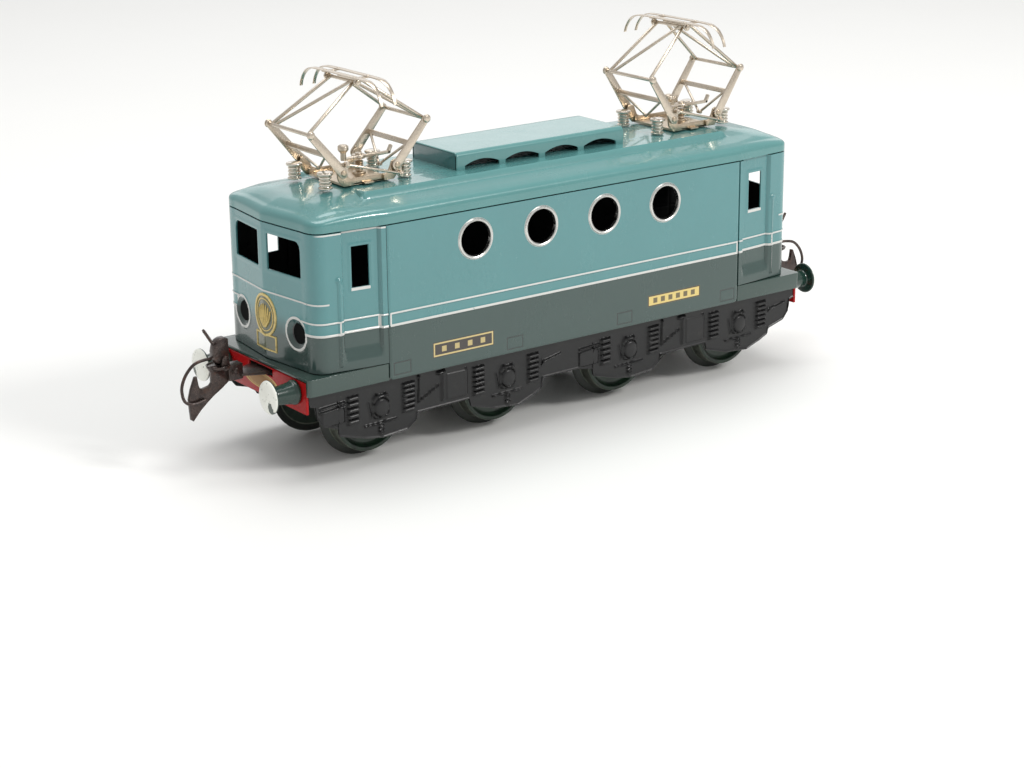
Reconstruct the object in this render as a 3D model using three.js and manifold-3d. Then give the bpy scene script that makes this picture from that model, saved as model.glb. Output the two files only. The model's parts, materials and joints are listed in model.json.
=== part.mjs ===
// Model electric locomotive in tinplate, O gauge, with two bogies and two diamond pantographs.
// Millimetres, +Z up. +X runs along the length with the front end at -X, the left side is -Y.
// The origin is on the floor under the middle of the locomotive.
import * as THREE from 'three';
import { mergeVertices } from 'three/addons/utils/BufferGeometryUtils.js';
import Module from 'manifold-3d';

const wasm = await Module();
wasm.setup();

// ---------------------------------------------------------------- driving dimensions
const FRAME_HALF = 100; // half length over the buffer beams
const PAN_HALF_Y = 28.3; // footplate half width at the cabs
const PAN_MID_Y = 27.7; // footplate half width behind the side covers
const PAN_TOP = 32.4;
const PAN_THICK = 0.9;
const VALANCE_Z = 27.0; // lower edge of the valances and of the side covers
const VALANCE_IN = 26.9;
const BEAM_Z = 21.2; // lower edge of the buffer beams
const DRAW_X = 92.5; // drawbar pivots from the middle
const SLOT_HALF = 7.2; // drawbar slot
const SLOT_Z0 = 28.4;
const SLOT_Z1 = 30.7;

const BODY_Z0 = 32.7; // cab shells stand on the footplate
const SEAM_Z = 75.7; // top of the walls, under the roof
const SEAM_X = 71.0; // joint between side covers and cabs
const BODY_HALF_Y = 28.6;
const NOSE_X = 97.8; // crease in the middle of the cab front
const WALL = 0.9;

const WHEEL_X = 24.15; // half wheelbase of a bogie
const BOGIE_X = 49.25; // bogie centres from the middle
const FLANGE_R = 14.9;
const TREAD_R = 12.6;
const WHEEL_BACK = 13.7; // inner face of a wheel from the middle
const AXLE_R = 1.45;

const BUFFER_Y = 20.8;
const BUFFER_Z = 27.3;

const PANTO_X = 65.4; // pantograph centres from the middle
const PIVOT_HALF = 9.7; // lower pivots from the pantograph centre
const PIVOT_Z = 89.4;
const ARM_LEN = 17.2; // lower arm, pivot to knee
const FRAME_LEN = 23.4; // upper frame, knee to apex
const APEX_HALF = 1.6; // apex bars from the pantograph centre
const ARM_Y = 12.0; // middle plane of the lower arm strips
const FRONT_RAISE = 49.4; // angle of the lower arms above the horizontal, in degrees
const REAR_RAISE = 56.1;
const CROSS_AT = 0.46; // cross bar of a lower arm, as a share of the arm
const BRACE_AT = -0.07; // low point of its V brace
const BRACE_Y = 3.3; // the same, away from the middle
const CATCH_Y = -1.0; // middle plane of the catch lever
const HEAD_RISE = 2.0; // top of the collector bows above the apex bars
const BOW_X = 2.4; // the two collector bows from the pantograph centre
const BOW_HALF = 1.1; // half width of a bow

// ---------------------------------------------------------------- materials
const paint = (name, colour, roughness, metalness) =>
  Object.assign(new THREE.MeshStandardMaterial({ color: colour, roughness, metalness }), { name });
const looks = {
  turquoise: () => paint('turquoise', 0x5f9a94, 0.3, 0.0),
  darkGreen: () => paint('dark_green', 0x44605b, 0.35, 0.0),
  black: () => paint('black', 0x2a2a2a, 0.5, 0.0),
  red: () => paint('red', 0xa51d22, 0.4, 0.0),
  nickel: () => paint('nickel', 0xc4b49c, 0.3, 1.0),
  bronze: () => paint('browned_steel', 0x4a3c36, 0.5, 0.8),
  steel: () => paint('steel', 0x8d8f8e, 0.4, 1.0),
  wheelGreen: () => paint('wheel_green', 0x2e4634, 0.4, 0.2),
};

// ---------------------------------------------------------------- solids
function solid(geometry) {
  const g = geometry.clone();
  g.deleteAttribute('normal');
  g.deleteAttribute('uv');
  const m = mergeVertices(g, 1e-4);
  const mesh = new wasm.Mesh({
    numProp: 3,
    vertProperties: new Float32Array(m.attributes.position.array),
    triVerts: new Uint32Array(m.index.array),
  });
  return new wasm.Manifold(mesh);
}

function geometryOf(manifold) {
  const mesh = manifold.getMesh();
  const g = new THREE.BufferGeometry();
  const points = new Float32Array(mesh.numVert * 3);
  for (let i = 0; i < mesh.numVert; i += 1) {
    for (let k = 0; k < 3; k += 1) {
      points[3 * i + k] = mesh.vertProperties[mesh.numProp * i + k];
    }
  }
  g.setAttribute('position', new THREE.BufferAttribute(points, 3));
  g.setIndex(new THREE.BufferAttribute(new Uint32Array(mesh.triVerts), 1));
  const flat = g.toNonIndexed();
  flat.computeVertexNormals();
  return flat;
}

const join = (parts) => parts.reduce((a, b) => a.add(b));
const cut = (body, tools) => tools.reduce((a, b) => a.subtract(b), body);

function shapeOf(points) {
  const shape = new THREE.Shape();
  points.forEach(([a, b], i) => (i ? shape.lineTo(a, b) : shape.moveTo(a, b)));
  shape.closePath();
  return shape;
}

// An outline is a list of points or a ready THREE.Shape.
function extruded(outline, depth, curveSegments = 6) {
  const shape = Array.isArray(outline) ? shapeOf(outline) : outline;
  return new THREE.ExtrudeGeometry(shape, { depth, bevelEnabled: false, curveSegments });
}

const toXZ = new THREE.Matrix4().makeRotationX(Math.PI / 2);
const toYZ = new THREE.Matrix4().set(0, 0, 1, 0, 1, 0, 0, 0, 0, 1, 0, 0, 0, 0, 0, 1);

// Outline in (x, y), (x, z) or (y, z), pulled along the third axis.
const prismZ = (outline, z0, z1, n = 4) => solid(extruded(outline, z1 - z0, n).translate(0, 0, z0));
const prismY = (outline, y0, y1, n) =>
  solid(extruded(outline, y1 - y0, n).applyMatrix4(toXZ).translate(0, y1, 0));
const prismX = (outline, x0, x1, n) =>
  solid(extruded(outline, x1 - x0, n).applyMatrix4(toYZ).translate(x0, 0, 0));

function box(x0, x1, y0, y1, z0, z1) {
  const g = new THREE.BoxGeometry(x1 - x0, y1 - y0, z1 - z0);
  return solid(g.translate((x0 + x1) / 2, (y0 + y1) / 2, (z0 + z1) / 2));
}

// Round bar between two points.
function bar(from, to, r, n = 8, rEnd = r) {
  const a = new THREE.Vector3(...from);
  const b = new THREE.Vector3(...to);
  const g = new THREE.CylinderGeometry(rEnd, r, a.distanceTo(b), n);
  const turn = new THREE.Quaternion().setFromUnitVectors(
    new THREE.Vector3(0, 1, 0), b.clone().sub(a).normalize());
  g.applyQuaternion(turn);
  const mid = a.add(b).multiplyScalar(0.5);
  return solid(g.translate(mid.x, mid.y, mid.z));
}

// Turned piece: profile of (radius, distance along the axis) from a base point along a direction.
function turned(profile, base, direction, n = 16) {
  const points = profile.map(([r, h]) => new THREE.Vector2(r, h));
  const g = new THREE.LatheGeometry(points, n);
  g.applyQuaternion(new THREE.Quaternion().setFromUnitVectors(
    new THREE.Vector3(0, 1, 0), new THREE.Vector3(...direction)));
  return solid(g.translate(...base));
}

// Flat link in the (x, z) plane with round ends of radii r0 and r1, between y0 and y1.
function link(from, to, r0, r1, y0, y1) {
  const angle = Math.atan2(to[1] - from[1], to[0] - from[0]);
  const shape = new THREE.Shape();
  shape.absarc(from[0], from[1], r0, angle + Math.PI / 2, angle + 1.5 * Math.PI, false);
  shape.absarc(to[0], to[1], r1, angle - Math.PI / 2, angle + Math.PI / 2, false);
  shape.closePath();
  return prismY(shape, y0, y1, 2);
}

// Round wire along a smooth curve.
function wire(points, r, steps, sides = 6) {
  const path = new THREE.CatmullRomCurve3(points.map((p) => new THREE.Vector3(...p)));
  const ring = new THREE.Shape();
  ring.absarc(0, 0, r, 0, 2 * Math.PI, false);
  return solid(new THREE.ExtrudeGeometry(ring,
    { steps, extrudePath: path, bevelEnabled: false, curveSegments: sides / 2 }));
}

// ---------------------------------------------------------------- the model
const model = new THREE.Group();

function place(name, body, look, group = model) {
  const mesh = new THREE.Mesh(geometryOf(body), looks[look]());
  mesh.name = name;
  group.add(mesh);
}

// Groups that hold the same pieces at the front and, turned half round, at the rear.
function endGroup(end) {
  const group = new THREE.Group();
  group.rotation.z = end === 'rear' ? Math.PI : 0;
  model.add(group);
  return group;
}

// ---------------------------------------------------------------- footplate
function framePan() {
  const c = 1.5;
  const step = SEAM_X + 0.2;
  const shape = new THREE.Shape();
  shape.moveTo(-FRAME_HALF + c, -PAN_HALF_Y);
  const waist = [[-step, PAN_HALF_Y], [-step, PAN_MID_Y], [step, PAN_MID_Y], [step, PAN_HALF_Y]];
  waist.forEach(([x, y]) => shape.lineTo(x, -y));
  shape.lineTo(FRAME_HALF - c, -PAN_HALF_Y);
  shape.absarc(FRAME_HALF - c, -PAN_HALF_Y + c, c, -Math.PI / 2, 0, false);
  shape.absarc(FRAME_HALF - c, PAN_HALF_Y - c, c, 0, Math.PI / 2, false);
  waist.forEach(([x, y]) => shape.lineTo(-x, y));
  shape.absarc(-FRAME_HALF + c, PAN_HALF_Y - c, c, Math.PI / 2, Math.PI, false);
  shape.absarc(-FRAME_HALF + c, -PAN_HALF_Y + c, c, Math.PI, 1.5 * Math.PI, false);
  const under = PAN_TOP - PAN_THICK;
  const body = prismZ(shape, VALANCE_Z, PAN_TOP, 3);
  const channel = box(-FRAME_HALF - 1, FRAME_HALF + 1, -VALANCE_IN, VALANCE_IN, 20, under);
  const holes = [-1, 1].map((s) => bar([s * BOGIE_X, 0, 30], [s * BOGIE_X, 0, 34], 2.4, 16));
  const rivets = [-1, 1].flatMap((s) => [
    bar([s * DRAW_X, 0, under + 0.2], [s * DRAW_X, 0, 28.0], 1.5, 12),
    bar([s * DRAW_X, 0, 28.3], [s * DRAW_X, 0, 27.6], 2.8, 16),
  ]);
  return join([cut(body, [channel, ...holes]), ...rivets]);
}
place('frame_pan', framePan(), 'darkGreen');

// ---------------------------------------------------------------- side frames
const BOGIE_PITCH = 2 * BOGIE_X;
// Lower edge of the frame under one bogie, from the outer end inward.
const bogieEdge = [
  [-88.9, 14.4], [-88.6, 11.9], [-78.9, 9.2], [-72.6, 8.3], [-63.7, 9.0], [-60.4, 11.5], [-60.0, 13.7],
  [-39.9, 14.1], [-39.6, 11.6], [-30.3, 9.0], [-20.8, 8.2], [-15.0, 10.3], [-11.5, 12.0],
];
const PLATE_Y0 = 26.0;
const PLATE_Y1 = 26.65;
const RELIEF_Y = 28.0;

function sideFrame() {
  const end = FRAME_HALF - 1.2;
  const outline = [
    [-end, 31.2], [-end, 23.4], [-96.5, 22.8], [-96.6, 19.6], [-94.3, 16.3],
    ...bogieEdge, [-11.1, 15.4], [3.5, 15.6],
    ...bogieEdge.map(([x, z]) => [x + BOGIE_PITCH, z]),
    [87.4, 13.9], [94.3, 15.9], [96.5, 18.6], [97.0, 22.6], [end, 23.2], [end, 31.2],
  ];
  const parts = [prismY(outline, -PLATE_Y1, -PLATE_Y0)];
  for (const shift of [0, BOGIE_PITCH]) {
    // axle boxes, over the two axles of the bogie
    for (const x of [-BOGIE_X - WHEEL_X, -BOGIE_X + WHEEL_X]) {
      parts.push(box(x + shift - 3.2, x + shift + 3.2, -RELIEF_Y, -PLATE_Y0 - 0.2, 14.9, 22.8));
      // coil spring stacks on both sides of each axle box
      for (const side of [-1, 1]) {
        const c = x + shift + side * 10.3;
        parts.push(box(c - 2.4, c + 2.4, -RELIEF_Y + 0.5, -PLATE_Y0 - 0.2, 15.0, 24.5));
      }
    }
    // bolster post in the middle of the bogie
    parts.push(box(-51.0 + shift, -49.8 + shift, -RELIEF_Y + 0.3, -PLATE_Y0 - 0.2, 16.0, 25.0));
    // box at the outer end
    parts.push(box(-94.6 + shift, -86.2 + shift, -RELIEF_Y + 0.7, -PLATE_Y0 - 0.2, 16.6, 21.2));
  }
  return join(parts);
}
place('side_frame_left', sideFrame(), 'black');
place('side_frame_right', sideFrame(), 'black', endGroup('rear'));

// ---------------------------------------------------------------- cab plan
// Half width of the body at a distance x in front of the middle.
const cornerX = 91.2;
const cornerY = 26.6;
const sideY = (x) => BODY_HALF_Y - ((x - SEAM_X) * (BODY_HALF_Y - cornerY)) / (cornerX - SEAM_X);
const frontX = (y) => NOSE_X - 0.11 * Math.abs(y);

// Front half of the body outline, from the +Y seam round the nose to the -Y seam.
function traceEnd(shape, d, sign, backX) {
  const s = sign;
  const y0 = sideY(SEAM_X) - d;
  shape.lineTo(-s * backX, s * (backX > SEAM_X ? sideY(backX) - d : y0));
  shape.lineTo(-s * cornerX, s * (cornerY - d));
  shape.quadraticCurveTo(-s * (95.9 - d), s * (26.0 - d), -s * (frontX(19.5) - d), s * 19.5);
  shape.lineTo(-s * (NOSE_X - d), 0);
  shape.lineTo(-s * (frontX(19.5) - d), -s * 19.5);
  shape.quadraticCurveTo(-s * (95.9 - d), -s * (26.0 - d), -s * cornerX, -s * (cornerY - d));
  shape.lineTo(-s * backX, -s * (backX > SEAM_X ? sideY(backX) - d : y0));
}

function endOutline(d, backX) {
  const shape = new THREE.Shape();
  shape.moveTo(-backX, 0);
  traceEnd(shape, d, 1, backX);
  shape.closePath();
  return shape;
}

function bodyOutline(d) {
  const shape = new THREE.Shape();
  shape.moveTo(-50, BODY_HALF_Y - d);
  traceEnd(shape, d, 1, SEAM_X);
  traceEnd(shape, d, -1, SEAM_X);
  shape.closePath();
  return shape;
}

// ---------------------------------------------------------------- front and rear ends
const LAMP_Y = 16.0;
const LAMP_Z = 43.6;

function cab() {
  const backX = SEAM_X + 0.15;
  const shell = prismZ(endOutline(0, backX), BODY_Z0, SEAM_Z)
    .subtract(prismZ(endOutline(WALL, SEAM_X - 5), BODY_Z0 - 1, SEAM_Z + 1));
  const added = [];
  const removed = [];
  for (const s of [-1, 1]) {
    // recessed door: a pad behind the wall, then a pocket from outside
    const wound = (outline) => (s > 0 ? outline : outline.slice().reverse());
    const slab = (x0, x1, y0, y1, z0, z1) => prismZ(wound(
      [[-x0, s * (sideY(x0) - y0)], [-x1, s * (sideY(x1) - y0)],
        [-x1, s * (sideY(x1) - y1)], [-x0, s * (sideY(x0) - y1)]]), z0, z1);
    added.push(slab(72.0, 87.0, 0.5, 2.1, BODY_Z0, SEAM_Z));
    removed.push(slab(73.2, 85.8, -2, 1.2, 34.6, SEAM_Z + 1));
    // door window
    removed.push(box(-82.4, -76.4, Math.min(s * 20, s * 32), Math.max(s * 20, s * 32), 57.9, 70.7));
    // windscreen with a cut outer top corner
    removed.push(prismX(wound(
      [[s * 2.6, 61.4], [s * 19.1, 61.4], [s * 19.1, 70.6], [s * 17.4, 72.6], [s * 2.6, 72.6]]), -100, -92));
    // grab rail beside the door
    added.push(slab(86.9, 87.7, -0.45, 0.3, 34.0, 61.0));
    // raised lamp ring and lamp hole
    added.push(bar([-96.7, s * LAMP_Y, LAMP_Z], [-94.9, s * LAMP_Y, LAMP_Z], 4.9, 18));
    removed.push(bar([-100, s * LAMP_Y, LAMP_Z], [-96.2, s * LAMP_Y, LAMP_Z], 4.2, 18));
    removed.push(bar([-100, s * LAMP_Y, LAMP_Z], [-90, s * LAMP_Y, LAMP_Z], 2.9, 14));
  }
  return cut(join([shell, ...added]), removed);
}

function buffer(y) {
  return turned(
    [[0, 0], [3.9, 0], [3.9, 0.9], [2.7, 8.0], [5.3, 8.6], [5.3, 9.5], [3.6, 10.4], [0, 10.4]],
    [-FRAME_HALF - 0.25, y, BUFFER_Z], [-1, 0, 0], 18);
}

function bufferBeam() {
  const plate = box(-FRAME_HALF, -FRAME_HALF + 0.9, -26.6, 26.6, BEAM_Z, 31.2);
  return plate.subtract(box(-101, -98, -SLOT_HALF, SLOT_HALF, SLOT_Z0, SLOT_Z1));
}

// ---------------------------------------------------------------- couplers
const LOOP_X = -113.2; // hinge of the lifting loop
const LOOP_Z = 36.0;

function drawbar() {
  // flat tapered strip with an eye round the pivot rivet
  const strip = new THREE.Shape();
  strip.moveTo(-DRAW_X, 3.6);
  strip.lineTo(-99.0, 5.4);
  strip.lineTo(-101.5, 5.4);
  strip.lineTo(-108.0, 2.4);
  strip.lineTo(-108.0, -2.4);
  strip.lineTo(-101.5, -5.4);
  strip.lineTo(-99.0, -5.4);
  strip.lineTo(-DRAW_X, -3.6);
  strip.absarc(-DRAW_X, 0, 3.6, -Math.PI / 2, Math.PI / 2, false);
  strip.closePath();
  const flat = prismZ(strip, 29.1, 29.9, 4)
    .subtract(bar([-DRAW_X, 0, SLOT_Z0], [-DRAW_X, 0, SLOT_Z1], 1.8, 10));
  // folded upright head with its rivet
  const head = box(-112.0, -107.0, -1.7, 1.7, 28.0, 33.2);
  const rivet = bar([-109.0, -2.3, 31.0], [-109.0, 2.3, 31.0], 1.1, 8);
  // arrow hook in the middle plane
  const hook = prismY([
    [-111.5, 28.0], [-114.1, 26.0], [-119.0, 22.7], [-124.5, 17.4], [-125.4, 24.4],
    [-122.9, 31.2], [-122.4, 31.2], [-122.0, 27.2], [-117.5, 27.9], [-117.5, 32.4],
    [-118.9, 33.4], [-111.5, 33.4],
  ], -0.6, 0.6);
  // oval seat and the two ears of the loop hinge
  const seat = turned([[0, 0], [3.3, 0], [3.7, 1.1], [0, 1.1]], [-114.8, 0, 32.5], [0, 0, 1], 14);
  const ears = [-1, 1].map((s) => link([LOOP_X, LOOP_Z], [LOOP_X, 33.2], 1.5, 1.6,
    s > 0 ? 1.9 : -2.6, s > 0 ? 2.6 : -1.9));
  const pin = bar([LOOP_X, -2.9, LOOP_Z], [LOOP_X, 2.9, LOOP_Z], 0.55, 10);
  return join([flat, head, rivet, hook, seat, ...ears, pin]);
}

function liftingLoop() {
  const block = new THREE.Shape();
  block.moveTo(-111.6, 34.3);
  block.lineTo(-111.6, 41.9);
  block.quadraticCurveTo(-114.0, 42.3, -115.6, 41.3);
  block.quadraticCurveTo(-116.8, 39.0, -116.6, 35.2);
  block.lineTo(-115.2, 34.3);
  block.closePath();
  const pinHole = bar([LOOP_X, -3, LOOP_Z], [LOOP_X, 3, LOOP_Z], 0.9, 10);
  const body = prismY(block, -1.6, 1.6, 3).subtract(pinHole);
  const rod = bar([-115.2, 0, 38.6], [-119.4, 0, 45.4], 0.5, 8, 0.45);
  const hoop = wire([
    [-115.6, 1.2, 35.4], [-118.6, 1.7, 35.3], [-122.0, 1.9, 34.4], [-124.9, 1.9, 31.6],
    [-126.5, 1.8, 28.2], [-126.7, 1.4, 25.4], [-126.6, 0.0, 23.9], [-125.7, -1.4, 23.4],
    [-123.2, -1.6, 23.2], [-120.0, -1.6, 23.8],
  ], 0.5, 18);
  return join([body, rod, hoop]);
}

for (const end of ['front', 'rear']) {
  const group = endGroup(end);
  place(`cab_${end}`, cab(), 'turquoise', group);
  place(`buffer_beam_${end}`, bufferBeam(), 'red', group);
  const [yLeft, yRight] = end === 'front' ? [-BUFFER_Y, BUFFER_Y] : [BUFFER_Y, -BUFFER_Y];
  place(`buffer_${end}_left`, buffer(yLeft), 'darkGreen', group);
  place(`buffer_${end}_right`, buffer(yRight), 'darkGreen', group);
  place(`coupler_${end}_drawbar`, drawbar(), 'bronze', group);
  place(`coupler_${end}_loop`, liftingLoop(), 'bronze', group);
}

// ---------------------------------------------------------------- side covers
const PORT_X = [-38.2, -12.73, 12.73, 38.2];
const PORT_Z = 66.6;
const PORT_R = 5.6;

function sideCover() {
  const half = SEAM_X - 0.15;
  const c = 1.3;
  const shape = new THREE.Shape();
  shape.moveTo(-half, SEAM_Z);
  shape.lineTo(-half, VALANCE_Z + c);
  shape.absarc(-half + c, VALANCE_Z + c, c, Math.PI, 1.5 * Math.PI, false);
  shape.absarc(half - c, VALANCE_Z + c, c, -Math.PI / 2, 0, false);
  shape.lineTo(half, SEAM_Z);
  shape.closePath();
  const plate = prismY(shape, -BODY_HALF_Y, -BODY_HALF_Y + 0.65, 3);
  const disc = (x, from, to, r) => bar([x, from, PORT_Z], [x, to, PORT_Z], r, 18);
  const rings = PORT_X.map((x) => disc(x, -BODY_HALF_Y - 0.5, -BODY_HALF_Y + 0.4, PORT_R + 1));
  const holes = PORT_X.map((x) => disc(x, -BODY_HALF_Y - 2, -BODY_HALF_Y + 2, PORT_R));
  return cut(join([plate, ...rings]), holes);
}
place('side_cover_left', sideCover(), 'turquoise');
place('side_cover_right', sideCover(), 'turquoise', endGroup('rear'));

// ---------------------------------------------------------------- roof
const ROOF_Z0 = 76.0;
const CROWN_Z = 84.6;

// Half of the cross section of the roof, from the seam up to the crown, sunk by d.
const domeHalf = (d) => [
  [BODY_HALF_Y - d, 78.2 - d], [28.2 - d, 79.6 - d], [27.3 - d, 80.5 - d], [26.0 - d, 81.0 - d],
  [19.5, 82.4 - d], [15.0, 83.5 - d], [9.5, 84.3 - d], [0, CROWN_Z - d],
];

function domeSolid(d, z0) {
  const right = domeHalf(d);
  const left = right.slice(0, -1).reverse().map(([y, z]) => [-y, z]);
  const section = [[-(BODY_HALF_Y - d), z0], [BODY_HALF_Y - d, z0], ...right, ...left];
  const endHalf = [
    [NOSE_X + 0.3 - d, 78.2 - d], [97.4 - d, 79.7 - d], [96.4 - d, 80.7 - d], [94.8 - d, 81.3 - d],
    [88.0, 82.9 - d], [80.0, 84.3 - d], [72.0, 84.9 - d],
  ];
  const along = [
    [-(NOSE_X + 0.3 - d), z0], [NOSE_X + 0.3 - d, z0], ...endHalf,
    ...endHalf.slice().reverse().map(([x, z]) => [-x, z]),
  ];
  return prismX(section, -99, 99)
    .intersect(prismY(along, -30, 30))
    .intersect(prismZ(bodyOutline(d), z0 - 1, 90));
}

function roof() {
  // raised centre panel with sloping ends
  const panel = prismX([
    [-19.6, 82.0], [19.6, 82.0], [19.4, 82.9], [17.6, 84.0], [9.0, 84.4], [0, CROWN_Z],
    [-9.0, 84.4], [-17.6, 84.0], [-19.4, 82.9],
  ], -74, 74);
  const ramp = [[-74.5, 82.0], [-73.5, 82.8], [-70.0, 86]];
  const ramps = prismY([...ramp, ...ramp.slice().reverse().map(([x, z]) => [-x, z])], -30, 30);
  return domeSolid(0, ROOF_Z0).add(panel.intersect(ramps)).subtract(domeSolid(WALL, ROOF_Z0 - 1));
}
place('roof', roof(), 'turquoise');

// ---------------------------------------------------------------- roof ventilator
const VENT_X = 33.6;
const VENT_Y = 12.4;
const VENT_Z = 90.0;

function roofVent() {
  const section = new THREE.Shape();
  section.moveTo(-VENT_Y, 84.0);
  section.lineTo(VENT_Y, 84.0);
  section.lineTo(VENT_Y, VENT_Z - 1.3);
  section.absarc(VENT_Y - 1.3, VENT_Z - 1.3, 1.3, 0, Math.PI / 2, false);
  section.absarc(-VENT_Y + 1.3, VENT_Z - 1.3, 1.3, Math.PI / 2, Math.PI, false);
  section.closePath();
  const outer = prismX(section, -VENT_X, VENT_X, 4);
  const inner = box(-VENT_X + 0.8, VENT_X - 0.8, -VENT_Y + 0.8, VENT_Y - 0.8, 80, VENT_Z - 0.8);
  const roofTop = prismX([
    [-20, 80], [20, 80], [20, 83.8], [9.0, 84.65], [0, CROWN_Z + 0.25], [-9.0, 84.65], [-20, 83.8],
  ], -40, 40);
  const arches = [-23.7, -7.9, 7.9, 23.7].map((x) => {
    const arch = new THREE.Shape();
    arch.moveTo(x - 6.7, 83);
    arch.lineTo(x + 6.7, 83);
    arch.lineTo(x + 6.7, 85.7);
    arch.quadraticCurveTo(x, 88.6, x - 6.7, 85.7);
    arch.closePath();
    return prismY(arch, -14, 14, 6);
  });
  return cut(outer, [inner, roofTop, ...arches]);
}
place('roof_vent', roofVent(), 'turquoise');

// ---------------------------------------------------------------- bogies
function bogieFrame(sign) {
  const x0 = sign * BOGIE_X;
  const cheek = (y0, y1) => prismY([
    [x0 - 31, 11], [x0 - 27, 8.4], [x0 + 27, 8.4], [x0 + 31, 11], [x0 + 31, 19],
    [x0 + 20, 26.4], [x0 - 20, 26.4], [x0 - 31, 19],
  ], y0, y1);
  const parts = [
    cheek(-12.8, -11.8), cheek(11.8, 12.8),
    box(x0 - 16, x0 + 16, -12, 12, 25.4, 26.4),
    turned([[0, 0], [5, 0], [5, 4.6], [2.0, 4.6], [2.0, 7.4], [0, 7.4]], [x0, 0, 26.3], [0, 0, 1], 14),
  ];
  for (const s of [-1, 1]) {
    parts.push(box(x0 + s * 29.5 - 0.6, x0 + s * 29.5 + 0.6, -12, 12, 13, 17));
  }
  if (sign > 0) {
    parts.push(bar([x0 - 10, -12, 10.2], [x0 - 10, 12, 10.2], 1.0, 12));
  }
  const holes = [-WHEEL_X, WHEEL_X].map((dx) =>
    bar([x0 + dx, -14, FLANGE_R], [x0 + dx, 14, FLANGE_R], AXLE_R + 0.3, 12));
  return cut(join(parts), holes);
}

function wheel(x, side) {
  const profile = [
    [1.75, 0], [FLANGE_R, 0], [FLANGE_R, 0.6], [TREAD_R + 0.2, 1.7], [TREAD_R - 0.2, 6.3],
    [10.8, 6.3], [10.2, 5.0], [3.8, 5.0], [1.75, 6.0], [1.75, 0],
  ];
  return turned(profile, [x, side * WHEEL_BACK, FLANGE_R], [0, side, 0], 24);
}

const AXLES_X = [-BOGIE_X - WHEEL_X, -BOGIE_X + WHEEL_X, BOGIE_X - WHEEL_X, BOGIE_X + WHEEL_X];
for (const [i, x] of AXLES_X.entries()) {
  place(`axle_${i + 1}`, bar([x, -20.4, FLANGE_R], [x, 20.4, FLANGE_R], AXLE_R, 12), 'steel');
  place(`wheel_${i + 1}_left`, wheel(x, -1), 'wheelGreen');
  place(`wheel_${i + 1}_right`, wheel(x, 1), 'wheelGreen');
}
place('bogie_front_frame', bogieFrame(-1), 'black');
place('bogie_rear_frame', bogieFrame(1), 'black');

function motorBlock() {
  const x0 = -BOGIE_X;
  const core = prismX([
    [-10.6, 9], [-7, 6.6], [7, 6.6], [10.6, 9], [10.6, 24.9], [-10.6, 24.9],
  ], x0 - 17, x0 + 17);
  const brushes = [-1, 1].map((s) => bar([x0 + s * 6, 0, 7], [x0 + s * 6, 0, 5.4], 2.2, 14));
  return join([core, ...brushes]);
}
place('motor_block', motorBlock(), 'steel');

function pickupShoe() {
  const x0 = BOGIE_X;
  const blade = prismY([
    [x0 - 11.4, 10.6], [x0 - 9.6, 6.0], [x0 - 6.0, 2.3], [x0 + 9.0, 2.3], [x0 + 13.5, 5.6],
    [x0 + 13.0, 6.2], [x0 + 8.6, 3.2], [x0 - 5.6, 3.2], [x0 - 8.6, 6.4], [x0 - 8.4, 10.6],
  ], -3.2, 3.2);
  const eye = bar([x0 - 10, -3.2, 10.2], [x0 - 10, 3.2, 10.2], 2.1, 14);
  return blade.add(eye).subtract(bar([x0 - 10, -4, 10.2], [x0 - 10, 4, 10.2], 1.3, 14));
}
place('pickup_shoe', pickupShoe(), 'steel');

// ---------------------------------------------------------------- pantographs
const rad = (deg) => (deg * Math.PI) / 180;

function linkage(raise) {
  const kneeX = PIVOT_HALF + ARM_LEN * Math.cos(rad(raise));
  const kneeZ = PIVOT_Z + ARM_LEN * Math.sin(rad(raise));
  const apexZ = kneeZ + Math.sqrt(FRAME_LEN ** 2 - (kneeX - APEX_HALF) ** 2);
  return { kneeX, kneeZ, apexZ };
}

function pantoBase(xc) {
  const tray = box(xc - 8.6, xc + 8.6, -10.4, 10.4, 84.9, 85.7);
  const lips = [-1, 1].map((s) => box(xc - 8.6, xc + 8.6, s * 10.0 - 0.4, s * 10.0 + 0.4, 85.0, 87.0));
  const postProfile = [[0, 0], [2.0, 0], [2.0, 1.0], [1.3, 1.2], [1.3, 4.3], [0, 4.3]];
  const post = turned(postProfile, [xc + 3.5, 0, 85.5], [0, 0, 1], 10);
  const parts = [tray, ...lips, post];
  for (const sx of [-1, 1]) {
    for (const sy of [-1, 1]) {
      const x = xc + sx * PIVOT_HALF;
      const y0 = sy > 0 ? 10.3 : -11.2;
      parts.push(link([x, PIVOT_Z], [x - sx * 2.2, 86.4], 1.7, 1.5, y0, y0 + 0.9));
      parts.push(box(Math.min(x, xc + sx * 7), Math.max(x, xc + sx * 7),
        sy > 0 ? 9.6 : -11.2, sy > 0 ? 11.2 : -9.6, 84.9, 85.7));
      parts.push(box(x - sx * 2.2 - 1.4, x - sx * 2.2 + 1.4, y0, y0 + 0.9, 85.0, 86.4));
      parts.push(bar([x, sy * 10.8, PIVOT_Z], [x, sy * 12.9, PIVOT_Z], 0.5, 8));
    }
  }
  return join(parts);
}

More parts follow.
